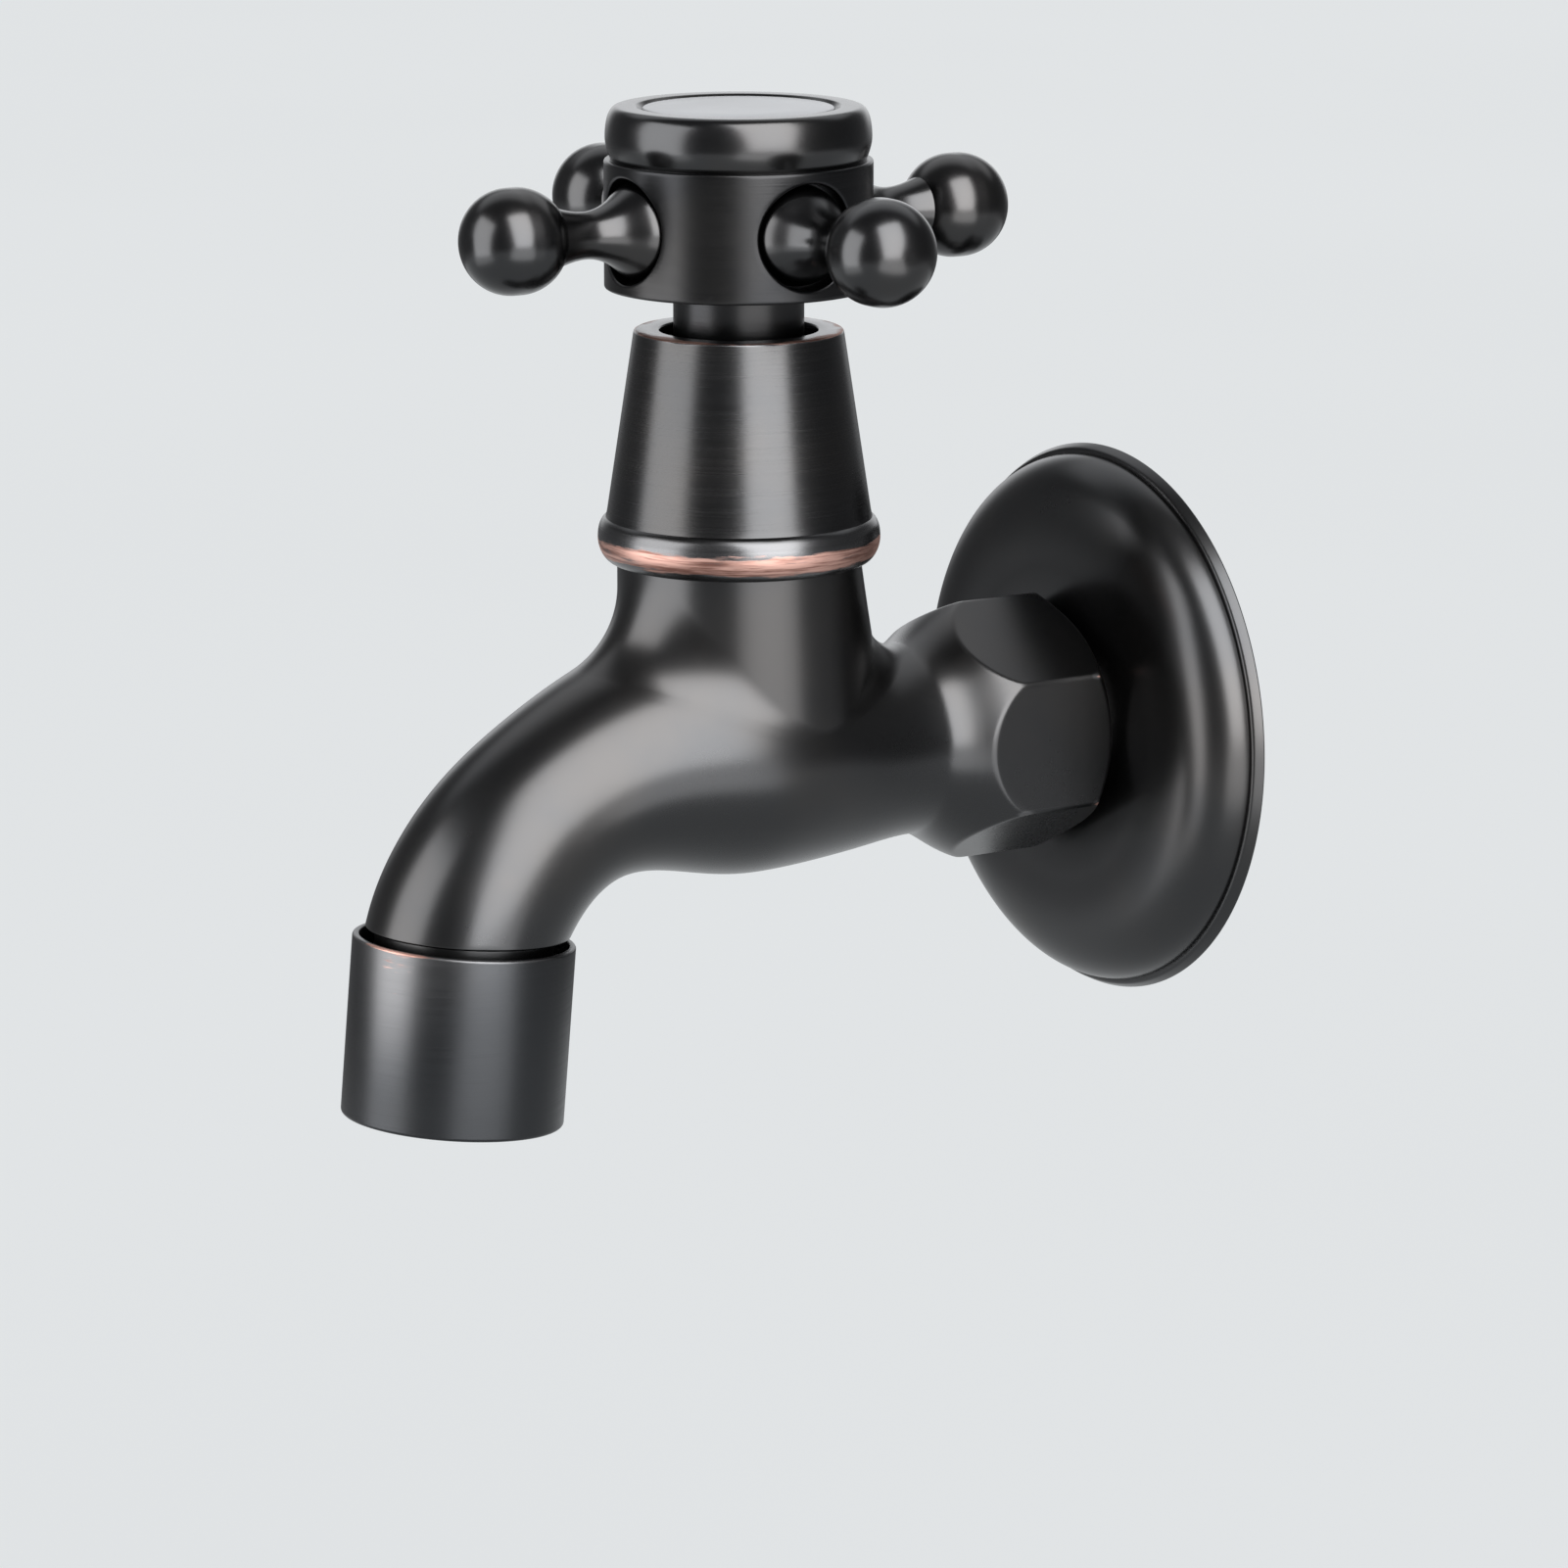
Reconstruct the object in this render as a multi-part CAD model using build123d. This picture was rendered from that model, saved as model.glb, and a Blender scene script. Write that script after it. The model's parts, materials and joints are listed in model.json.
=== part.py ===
"""Cold water tap: a wall-mounted bib tap with a four-arm cross handle.

Millimetres, +Z up. The wall is the plane y = 0 and the tap stands out of it towards -Y.
The origin is on the inlet axis where it meets the wall.
"""
import math
import os

from build123d import *

# Inlet spigot and hexagon, distances from the wall
thread_radius = 10.4775
thread_reach = 10.6
thread_start = 1.0
thread_lead = 0.8
shank_radius = 10.2
inlet_bore_radius = 7.0
inlet_bore_depth = 24.4
hexagon_flats = 24.6
hexagon_back = 7.4
hexagon_chamfer = 1.7
hexagon_edge_round = 0.6
shoulder_start = 13.6
shoulder_middle = 21.2
shoulder_middle_radius = 12.4
waist_reach = 27.0
waist_radius = 10.3

# Barrel under the handle's axis, and the spout's end
handle_reach = 46.8
barrel_radius = 13.5
barrel_lift = 1.5
spout_reach = 80.4
spout_drop = 15.05
spout_radius = 10.3
spout_slope = 17.0
spout_run = 5.0

# Stations between them: share of the way, share of the rise or fall, and radius
throat_stations = [(0.4, 0.0667, 11.3)]
spout_stations = [(0.1965, -0.0181, 13.1), (0.631, 0.1752, 10.25), (0.8304, 0.4592, 10.1), (0.9375, 0.7311, 10.25)]

# Neck that carries the cartridge and the bonnet cover
neck_top = 20.8
neck_inset = 0.7
neck_taper = 0.05
neck_shoulder_height = 3.8
neck_blend = 10.0
neck_thread_step = 0.75
neck_thread_height = 5.5
neck_thread_lead = 0.5

# Waterways inside the body
chamber_floor = 4.0
chamber_radius = 9.53
gallery_depth = 1.17
gallery_margin = 0.8
seat_hole_radius = 4.5
passage_radius = 5.0
passage_drop = 3.6
spout_bore_radius = 5.5

# Nozzle thread, collar and aerator, lengths along the nozzle
nozzle_tilt = 5.1
nozzle_thread_radius = 9.9
nozzle_thread_length = 11.0
nozzle_relief_radius = 9.3
nozzle_mouth_radius = 8.0
nozzle_mouth_depth = 3.0
spout_face_gap = 0.7
collar_radius = 11.6
collar_length = 19.0
collar_rim_wall = 0.7
collar_rim_depth = 3.2
collar_edge_chamfer = 0.3
collar_lip_radius = 8.7
collar_lip_thickness = 1.3
aerator_wall = 1.4
aerator_grille_thickness = 1.4
aerator_cell_flats = 1.7
aerator_cell_wall = 0.45
aerator_washer_thickness = 1.6
screen_thickness = 0.5
screen_cell_flats = 1.3
screen_cell_wall = 0.8
screen_ledge = 0.9

# Wall flange, depths measured out from the wall
flange_radius = 30.0
flange_wall = 1.2
flange_lip_width = 1.85
flange_lip_depth = 1.2
flange_edge_round = 0.4
flange_crown_radius = 17.0
flange_depth = 6.5
flange_bore_radius = 10.75

# Points down the flange's dome: distance in from its foot, fall from the crown, and slope in degrees
dome_stations = [(4.75, 0.45, 15.0), (2.35, 1.5, 38.0), (0.65, 3.2, 65.0)]

# Bonnet cover, heights above its foot
cover_height = 25.1
cover_top_radius = 10.95
cover_cone_step = 0.7
cover_opening_radius = 8.3
cover_lip_thickness = 1.6
cover_wall = 1.7
cover_edge_round = 0.25
cover_thread_height = 6.0
bead_foot_step = 0.55
bead_bulge = 1.52
bead_middle_height = 2.2
bead_top_height = 3.8
cove_top_height = 4.7

# Cartridge, stacked up from the floor of the chamber
seal_height = 2.0
seal_wall = 2.2
disc_radius = 7.5
disc_thickness = 2.4
port_inner_radius = 1.6
port_wall = 2.5
port_angle = 70.0
tang_width = 3.0
tang_depth = 1.2
tang_reach = 1.5
leg_height = 2.8
leg_wall = 2.6
leg_angle = 60.0
spindle_flange_thickness = 1.2
slip_washer_thickness = 0.6
housing_sleeve_play = 0.33
housing_lift = 0.6
housing_flange_step = 1.0
housing_flange_thickness = 1.8
housing_hexagon_flats = 17.0
housing_hexagon_height = 4.9
housing_barrel_radius = 7.4
housing_top_drop = 6.4
housing_groove_depth = 0.75
housing_groove_height = 1.3
housing_groove_drop = 1.2
window_width = 9.0
spindle_radius = 4.0
ring_radius = 0.45
ring_groove_height = 1.1
ring_spacing = 5.0
circlip_radius = 5.6
circlip_thickness = 0.8
circlip_groove_depth = 0.7
circlip_land = 0.9
circlip_gap_angle = 70.0
spline_teeth = 20
spline_tooth_depth = 0.4
spline_foot_height = 2.0

# Handle, heights above the cover's top or the hub's bottom
handle_gap = 4.4
hub_radius = 14.0
hub_height = 13.4
hub_edge_chamfer = 0.3
boss_radius = 6.83
boss_depth = 8.5
socket_depth = 5.2
socket_web = 2.5
arm_names = ("right", "back", "left", "front")
arm_height = 6.7
arm_recess_radius = 5.5
arm_recess_depth = 2.8
arm_stud_radius = 2.5
arm_stud_length = 4.6
arm_root_radius = 4.7
arm_waist_radius = 2.5
arm_waist_reach = 18.2
arm_neck_radius = 3.2
ball_reach = 27.0
ball_radius = 5.5
ball_corner_radius = 5.1
screw_head_radius = 3.5
screw_head_height = 2.6
screw_radius = 1.95
screw_length = 11.5
screw_socket_flats = 3.0
screw_socket_depth = 1.5
screw_well_radius = 4.2
cap_spigot_radius = 11.5
cap_spigot_depth = 1.0
cap_opening_radius = 8.0
cap_foot_radius = 13.3
cap_radius = 13.86
cap_widest_height = 2.3
cap_height = 5.5
cap_flat_radius = 12.5
cap_bevel = 0.65
index_radius = 9.98
index_thickness = 2.15
index_inset = 0.15
index_edge_round = 0.15

# Clearances
running_gap = 0.04
thread_gap = 0.03
fit_gap = 0.05
socket_gap = 0.1
edge_reach = 0.01

# Heights and radii that follow from the sizes above
hexagon_corner = hexagon_flats / math.sqrt(3)
flange_foot_radius = flange_radius - flange_lip_width
neck_foot_radius = barrel_radius - neck_inset
neck_radius = neck_foot_radius - neck_taper
neck_thread_radius = neck_radius - neck_thread_step
neck_thread_top = neck_top + neck_thread_height
cover_top = neck_top + cover_height
cover_bore_radius = neck_thread_radius + thread_gap
bead_foot_radius = neck_radius + bead_foot_step
bead_radius = bead_foot_radius + bead_bulge
cover_cone_radius = bead_foot_radius + cover_cone_step
gallery_radius = chamber_radius + gallery_depth
seal_top = chamber_floor + seal_height
fixed_disc_top = seal_top + disc_thickness
moving_disc_top = fixed_disc_top + disc_thickness
leg_top = moving_disc_top + leg_height
spindle_flange_top = leg_top + spindle_flange_thickness
slip_washer_top = spindle_flange_top + slip_washer_thickness
housing_ceiling = slip_washer_top + fit_gap
housing_bore_radius = disc_radius + fit_gap
housing_flange_top = neck_thread_top + housing_flange_thickness
housing_hexagon_top = housing_flange_top + housing_hexagon_height
housing_top = cover_top - housing_top_drop
housing_groove_top = neck_thread_top - housing_groove_drop
housing_groove_bottom = housing_groove_top - housing_groove_height
housing_sleeve_radius = chamber_radius - housing_sleeve_play
housing_flange_radius = neck_thread_radius - housing_flange_step
housing_groove_radius = housing_sleeve_radius - housing_groove_depth
port_outer_radius = disc_radius - port_wall
leg_radius = disc_radius - 4 * fit_gap
spindle_hole_radius = spindle_radius + running_gap
ring_groove_radius = spindle_hole_radius - 2 * ring_radius - fit_gap
circlip_bottom = housing_top + fit_gap
circlip_top = circlip_bottom + circlip_thickness
circlip_seat_radius = spindle_radius - circlip_groove_depth
spline_bottom = circlip_top + circlip_land + spline_foot_height
spline_radius = spindle_radius - fit_gap
hub_bottom = cover_top + handle_gap
hub_top = hub_bottom + hub_height
boss_bottom = hub_bottom - boss_depth
spindle_top = hub_bottom + socket_depth
screw_seat = spindle_top + socket_gap + socket_web
arm_level = hub_bottom + arm_height
arm_recess_floor = hub_radius - arm_recess_depth
arm_stud_end = arm_recess_floor - arm_stud_length
cap_top = hub_top + cap_height
index_top = cap_top - index_inset
index_ledge = index_top - index_thickness
aerator_radius = nozzle_thread_radius - 4 * fit_gap
cup_radius = aerator_radius - aerator_wall
washer_bottom = nozzle_thread_length + aerator_washer_thickness
aerator_bottom = collar_length - collar_lip_thickness
nozzle_lean = math.radians(nozzle_tilt)
nozzle_plane = Plane(
    origin=(0, -spout_reach, -spout_drop), x_dir=(1, 0, 0), z_dir=(0, -math.sin(nozzle_lean), -math.cos(nozzle_lean))
)


def turned(*points):
    """Solid of revolution about Z from a closed outline of (radius, height) points."""
    return revolve(Plane.XZ * make_face(Polyline(*points, close=True)), Axis.Z)


def turned_outline(edges):
    """Solid of revolution about Z from outline edges drawn as (radius, height)."""
    return revolve(Plane.XZ * make_face(edges), Axis.Z)


def tube(outer_radius, inner_radius, bottom, top):
    """Upright ring about Z."""
    return turned((inner_radius, bottom), (outer_radius, bottom), (outer_radius, top), (inner_radius, top))


def prism(sketch, bottom, top):
    """Upright prism of a sketch."""
    return Pos(0, 0, bottom) * extrude(sketch, amount=top - bottom)


def rod(radius, bottom, top):
    """Upright cylinder about Z."""
    return prism(Circle(radius), bottom, top)


def hexagon_sketch(across_flats):
    """Hexagon with two flats facing the X axis."""
    return RegularPolygon(across_flats / math.sqrt(3), 6, rotation=30)


def ring_sector(outer_radius, inner_radius, angle, bottom, top, middle):
    """Sector of an upright ring, centred on the middle angle."""
    half = math.radians(angle / 2)
    corner_x = 2 * outer_radius * math.cos(half)
    corner_y = 2 * outer_radius * math.sin(half)
    wedge = make_face(Polyline((0, 0), (corner_x, -corner_y), (corner_x, corner_y), close=True))
    return Rot(0, 0, middle) * (tube(outer_radius, inner_radius, bottom, top) & prism(wedge, bottom, top))


def edges_at(shape, level):
    """Edges that lie in one level plane."""
    return shape.edges().filter_by_position(Axis.Z, level - edge_reach, level + edge_reach)


def at_handle(shape):
    """Move a shape made about Z onto the handle's axis."""
    return Pos(0, -handle_reach, 0) * shape


def at_nozzle(shape):
    """Move a shape made about Z onto the nozzle's axis, with its height as the distance down the collar."""
    return nozzle_plane.location * shape


def at_inlet(shape):
    """Move a shape made about Z onto the inlet's axis, with its height as the distance from the wall."""
    return Rot(90, 0, 0) * shape


def honeycomb(radius, flats, wall):
    """Places of the cells of a honeycomb that lie wholly within a circle."""
    pitch = flats + wall
    rows = int(radius / pitch) + 1
    places = []
    for row in range(-rows, rows + 1):
        for column in range(-2 * rows, 2 * rows + 1):
            x = pitch * (column + row / 2)
            y = pitch * row * math.sqrt(3) / 2
            if math.hypot(x, y) + flats / math.sqrt(3) < radius:
                places.append(Pos(x, y))
    return places


def perforated(radius, flats, wall, margin):
    """Round plate with honeycomb holes inside its margin."""
    return Circle(radius) - [place * hexagon_sketch(flats) for place in honeycomb(radius - margin, flats, wall)]


def spline_profile(radius):
    """Toothed outline of the spindle's end."""
    points = []
    for index in range(2 * spline_teeth):
        reach = radius - (index % 2) * spline_tooth_depth
        angle = math.pi * index / spline_teeth
        points.append((reach * math.cos(angle), reach * math.sin(angle)))
    return make_face(Polyline(*points, close=True))


def stations():
    """Distance from the wall, height and radius of each station from the waist to the nozzle."""
    throat = handle_reach - waist_reach
    spout = spout_reach - handle_reach
    fall = spout_drop + barrel_lift
    rows = [(waist_reach, 0, waist_radius)]
    rows += [(waist_reach + along * throat, rise * barrel_lift, size) for along, rise, size in throat_stations]
    rows += [(handle_reach, barrel_lift, barrel_radius)]
    rows += [(handle_reach + along * spout, barrel_lift - drop * fall, size) for along, drop, size in spout_stations]
    rows += [(spout_reach, -spout_drop, spout_radius)]
    return rows


def spout_places():
    """Points of the centreline from the waist to the nozzle."""
    return [(0, -reach, height) for reach, height, radius in stations()]


def spout_end_direction():
    """Direction in which the centreline ends."""
    slope = math.radians(spout_slope)
    return (0, -math.sin(slope), -math.cos(slope))


def make_hexagon():
    """Hexagon chamfered at the back, run into the round waist by a polished shoulder."""
    back_radius = hexagon_flats / 2 - fit_gap
    corner = (hexagon_corner, shoulder_start)
    waist = (waist_radius, waist_reach)
    back = Polyline(
        (0, hexagon_back), (back_radius, hexagon_back), (hexagon_corner, hexagon_back + hexagon_chamfer), corner
    )
    shoulder = Spline([corner, (shoulder_middle_radius, shoulder_middle), waist], tangents=[(-0.15, 1), (0, 1)])
    front = Polyline(waist, (0, waist_reach), (0, hexagon_back))
    form = turned_outline([*back.edges(), shoulder, *front.edges()])
    hexagon = hexagon_sketch(hexagon_flats)
    hexagon = fillet(hexagon.vertices(), hexagon_edge_round)
    return at_inlet(form & prism(hexagon, hexagon_back, waist_reach))


def make_barrel():
    """Round sections lofted along the centreline, with the seam underneath."""
    path = Spline(spout_places(), tangents=[(0, -1, 0), spout_end_direction()])
    sections = []
    for reach, height, radius in stations():
        along = path.param_at_point((0, -reach, height))
        direction = path % along
        below = Vector(0, direction.Z, -direction.Y)
        sections.append(Plane(origin=path @ along, x_dir=-below, z_dir=direction) * Circle(radius))
    return loft(sections)


def make_spout_run():
    """Short straight run that the nozzle's plane cuts off."""
    start = Plane(origin=(0, -spout_reach, -spout_drop), x_dir=(1, 0, 0), z_dir=spout_end_direction())
    return extrude(start * Circle(spout_radius), amount=spout_run)


def make_neck():
    """Neck with a slightly tapered shoulder under the bonnet cover."""
    shoulder = neck_top - neck_shoulder_height
    neck = turned(
        (0, barrel_lift),
        (neck_foot_radius, barrel_lift),
        (neck_foot_radius, shoulder),
        (neck_radius, neck_top),
        (0, neck_top),
    )
    return at_handle(Rot(0, 0, 45) * neck)


def blended(shape):
    """Round the saddle line where the neck meets the barrel."""
    saddle = []
    for edge in shape.edges():
        box = edge.bounding_box()
        between = box.min.Z > barrel_lift - fit_gap and box.max.Z < neck_top - neck_shoulder_height - fit_gap
        if between and box.size.X > neck_radius:
            saddle.append(edge)
    return fillet(saddle, neck_blend)


def make_waterways():
    """Inlet bore, passage to the seat, chamber with its gallery, and the bore of the spout."""
    inlet_bore = at_inlet(rod(inlet_bore_radius, -thread_reach, inlet_bore_depth))
    passage = at_inlet(rod(passage_radius, inlet_bore_depth - passage_radius, handle_reach))
    passage = Pos(0, 0, -passage_drop) * passage
    passage_end = Pos(0, -handle_reach, -passage_drop) * Sphere(passage_radius)
    seat_hole = at_handle(rod(seat_hole_radius, -passage_drop, chamber_floor))
    chamber = at_handle(rod(chamber_radius, chamber_floor, neck_thread_top))
    gallery = at_handle(rod(gallery_radius, moving_disc_top - gallery_margin, leg_top + gallery_margin))
    start = (0, -handle_reach - chamber_radius / 2, chamber_floor + spout_bore_radius + fit_gap)
    narrow_places = [place for place in spout_places() if place[1] < -handle_reach - neck_radius]
    route = Spline([start] + narrow_places, tangents=[(0, -1, 0), spout_end_direction()])
    start_plane = Plane(origin=route @ 0, x_dir=(1, 0, 0), z_dir=route % 0)
    spout_bore = sweep(start_plane * Circle(spout_bore_radius), path=route)
    elbow = Pos(0, -spout_reach, -spout_drop) * Sphere(spout_bore_radius + fit_gap)
    outlet = at_nozzle(rod(spout_bore_radius, 0, nozzle_thread_length))
    mouth = at_nozzle(rod(nozzle_mouth_radius, nozzle_thread_length - nozzle_mouth_depth, nozzle_thread_length))
    return [inlet_bore, passage, passage_end, seat_hole, chamber, gallery, spout_bore, elbow, outlet, mouth]


def make_tap_body():
    """Cast body: hexagon, inlet spigot, barrel, neck, spout, nozzle thread and waterways."""
    body = blended(make_barrel() + make_neck()) + make_spout_run()
    body -= at_nozzle(rod(2 * spout_radius, -spout_face_gap, nozzle_thread_length))
    inlet_thread = rod(thread_radius, -thread_reach, thread_start)
    inlet_thread = chamfer(edges_at(inlet_thread, -thread_reach), thread_lead)
    neck_thread = rod(neck_thread_radius, chamber_floor, neck_thread_top)
    neck_thread = chamfer(edges_at(neck_thread, neck_thread_top), neck_thread_lead)
    body += make_hexagon()
    body += at_inlet(rod(shank_radius, thread_start, hexagon_back))
    body += at_inlet(inlet_thread)
    body += at_handle(neck_thread)
    body += at_nozzle(rod(nozzle_relief_radius, -spout_face_gap, collar_rim_depth))
    body += at_nozzle(rod(nozzle_thread_radius, collar_rim_depth, nozzle_thread_length))
    for waterway in make_waterways():
        body -= waterway
    return body


def flange_dome(inset):
    """Dome of the wall flange from the crown to its foot, moved inwards by the inset."""
    points = [(flange_crown_radius, flange_depth - inset)]
    for step_in, fall, slope in dome_stations:
        radius = flange_foot_radius - step_in - inset * math.sin(math.radians(slope))
        points.append((radius, flange_depth - fall - inset * math.cos(math.radians(slope))))
    points.append((flange_foot_radius - inset, flange_lip_depth))
    return Spline(points, tangents=[(1, 0), (0, -1)])


def make_wall_flange():
    """Thin domed plate with a flat lip that hangs on the shank."""
    inner_foot = flange_foot_radius - flange_wall
    inner_depth = flange_depth - flange_wall
    edge_radius = flange_radius - flange_edge_round
    edge_depth = flange_lip_depth - flange_edge_round
    turn = flange_edge_round * math.sqrt(0.5)
    lip = Line((flange_foot_radius, flange_lip_depth), (edge_radius, flange_lip_depth))
    edge = ThreePointArc(
        (edge_radius, flange_lip_depth), (edge_radius + turn, edge_depth + turn), (flange_radius, edge_depth)
    )
    rim = Polyline((flange_radius, edge_depth), (flange_radius, 0), (inner_foot, 0), (inner_foot, flange_lip_depth))
    bore = Polyline(
        (flange_crown_radius, inner_depth),
        (flange_bore_radius, inner_depth),
        (flange_bore_radius, flange_depth),
        (flange_crown_radius, flange_depth),
    )
    plate = turned_outline([flange_dome(0), lip, edge, *rim.edges(), flange_dome(flange_wall), *bore.edges()])
    hang = flange_bore_radius - shank_radius - fit_gap
    return Pos(0, 0, -hang) * at_inlet(plate)


def make_bonnet_cover():
    """Tapered sleeve with a beaded foot, screwed onto the neck."""
    foot = (bead_foot_radius, neck_top)
    widest = (bead_radius, neck_top + bead_middle_height)
    cove = (cover_cone_radius + fit_gap, neck_top + bead_top_height)
    cone_foot = (cover_cone_radius, neck_top + cove_top_height)
    cone_top = (cover_top_radius, cover_top)
    lean = (cover_top_radius - cover_cone_radius, cover_height - cove_top_height)
    inner_top = (cover_top_radius - cover_wall, cover_top - cover_lip_thickness)
    inside = Polyline(
        cone_top,
        (cover_opening_radius, cover_top),
        (cover_opening_radius, inner_top[1]),
        inner_top,
        (cover_bore_radius, neck_top + cover_thread_height),
        (cover_bore_radius, neck_top),
        foot,
    )
    outside = [
        Spline([foot, widest], tangents=[(1, 0.25), (0, 1)]),
        Spline([widest, cove], tangents=[(0, 1), (-1, 0.5)]),
        Spline([cove, cone_foot], tangents=[(-0.3, 1), lean]),
        Line(cone_foot, cone_top),
    ]
    cover = turned_outline(outside + list(inside.edges()))
    return at_handle(fillet(edges_at(cover, cover_top), cover_edge_round))


def make_cartridge_housing():
    """Brass sleeve with flange, hexagon, side windows, seal groove and the spindle's hole."""
    bottom = chamber_floor + housing_lift
    housing = rod(housing_sleeve_radius, bottom, neck_thread_top)
    housing += rod(chamber_radius - thread_gap, housing_ceiling, housing_groove_bottom - housing_groove_height / 2)
    housing += rod(housing_flange_radius, neck_thread_top, housing_flange_top)
    housing += prism(hexagon_sketch(housing_hexagon_flats), housing_flange_top, housing_hexagon_top)
    housing += rod(housing_barrel_radius, housing_hexagon_top, housing_top)
    housing -= rod(housing_bore_radius, bottom, housing_ceiling)
    housing -= rod(spindle_hole_radius, housing_ceiling, housing_top)
    housing -= tube(chamber_radius, housing_groove_radius, housing_groove_bottom, housing_groove_top)
    windows = Box(window_width, 2 * chamber_radius, leg_height)
    housing -= Pos(0, 0, (moving_disc_top + leg_top) / 2) * windows
    return at_handle(housing)


def make_housing_o_ring():
    """Ring in the groove of the housing, held by the chamber."""
    level = (housing_groove_bottom + housing_groove_top) / 2
    return at_handle(Pos(0, 0, level) * Torus((housing_groove_radius + chamber_radius) / 2, ring_radius))


def ring_levels():
    """Heights of the two rings on the spindle, evenly about the middle of its hole."""
    middle = (housing_ceiling + housing_top) / 2
    return (middle - ring_spacing / 2, middle + ring_spacing / 2)


def make_spindle_o_rings():
    """The two rings on the spindle."""
    major_radius = spindle_hole_radius - ring_radius - running_gap / 2
    return Compound([at_handle(Pos(0, 0, level) * Torus(major_radius, ring_radius)) for level in ring_levels()])


def ported_disc(bottom, top):
    """Ceramic disc with two opposite openings."""
    disc = rod(disc_radius, bottom, top)
    for middle in (90, 270):
        disc -= ring_sector(port_outer_radius, port_inner_radius, port_angle, bottom, top, middle)
    return disc


def make_seat_seal():
    """Rubber ring between the seat and the fixed disc."""
    return at_handle(tube(disc_radius, disc_radius - seal_wall, chamber_floor, seal_top))


def make_moving_disc():
    """Ceramic disc turned by the spindle, with two notches for its tangs."""
    disc = ported_disc(fixed_disc_top, moving_disc_top)
    for side in (-1, 1):
        disc -= Pos(side * disc_radius, 0, moving_disc_top) * Box(2 * tang_reach, tang_width, 2 * tang_depth)
    return at_handle(disc)


def make_spindle():
    """Stem with two legs and tangs, ring grooves, circlip groove, toothed end and screw hole."""
    spindle = rod(leg_radius, leg_top, spindle_flange_top)
    spindle += rod(spindle_radius, spindle_flange_top, circlip_top + circlip_land)
    for middle in (0, 180):
        spindle += ring_sector(leg_radius, leg_radius - leg_wall, leg_angle, moving_disc_top, leg_top, middle)
    tang_start = disc_radius - tang_reach + fit_gap
    tang_end = leg_radius - fit_gap
    tang = Box(tang_end - tang_start, tang_width - 2 * fit_gap, tang_depth)
    for side in (-1, 1):
        spindle += Pos(side * (tang_start + tang_end) / 2, 0, moving_disc_top - tang_depth / 2 + fit_gap) * tang
    spindle += rod(spline_radius - spline_tooth_depth, circlip_top + circlip_land, spline_bottom)
    spindle += prism(spline_profile(spline_radius), spline_bottom, spindle_top)
    for level in ring_levels():
        half = ring_groove_height / 2
        spindle -= tube(2 * spindle_radius, ring_groove_radius, level - half, level + half)
    spindle -= tube(2 * spindle_radius, circlip_seat_radius, circlip_bottom, circlip_top)
    spindle -= rod(screw_radius + thread_gap, screw_seat - screw_length - socket_gap, spindle_top)
    return at_handle(spindle)


def make_slip_washer():
    """Low-friction washer between the spindle's flange and the housing."""
    return at_handle(tube(leg_radius, spindle_hole_radius, spindle_flange_top, slip_washer_top))


def make_circlip():
    """Open ring that holds the spindle down in the housing."""
    bottom = circlip_bottom + fit_gap
    top = circlip_top - fit_gap
    clip = tube(circlip_radius, circlip_seat_radius + fit_gap, bottom, top)
    clip -= ring_sector(circlip_radius, circlip_seat_radius, circlip_gap_angle, bottom, top, 45)
    return at_handle(clip)


def arm_angles():
    """Angle of each arm about the handle's axis, by name."""
    return {name: index * 360 / len(arm_names) for index, name in enumerate(arm_names)}


def at_arm(shape, angle):
    """Move a shape made about Z onto an arm's axis, with its height as the distance from the handle's axis."""
    return Pos(0, 0, arm_level) * Rot(0, 0, angle) * Rot(0, 90, 0) * shape


def make_handle_hub():
    """Drum with its boss, toothed socket, screw well, cap seat and the recesses for the arms."""
    drum = rod(hub_radius, hub_bottom, hub_top)
    drum = chamfer(drum.edges().filter_by(GeomType.CIRCLE), hub_edge_chamfer)
    hub = drum + rod(boss_radius, boss_bottom, hub_bottom)
    hub -= prism(spline_profile(spline_radius + fit_gap), boss_bottom, spindle_top + socket_gap)
    hub -= rod(screw_radius + socket_gap, spindle_top, screw_seat)
    hub -= rod(screw_well_radius, screw_seat, hub_top)
    hub -= rod(cap_spigot_radius + fit_gap, hub_top - cap_spigot_depth, hub_top)
    for angle in arm_angles().values():
        hub -= at_arm(rod(arm_recess_radius, arm_recess_floor, 2 * hub_radius), angle)
        hub -= at_arm(rod(arm_stud_radius + thread_gap, arm_stud_end - socket_gap, arm_recess_floor), angle)
    return at_handle(hub)


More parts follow.
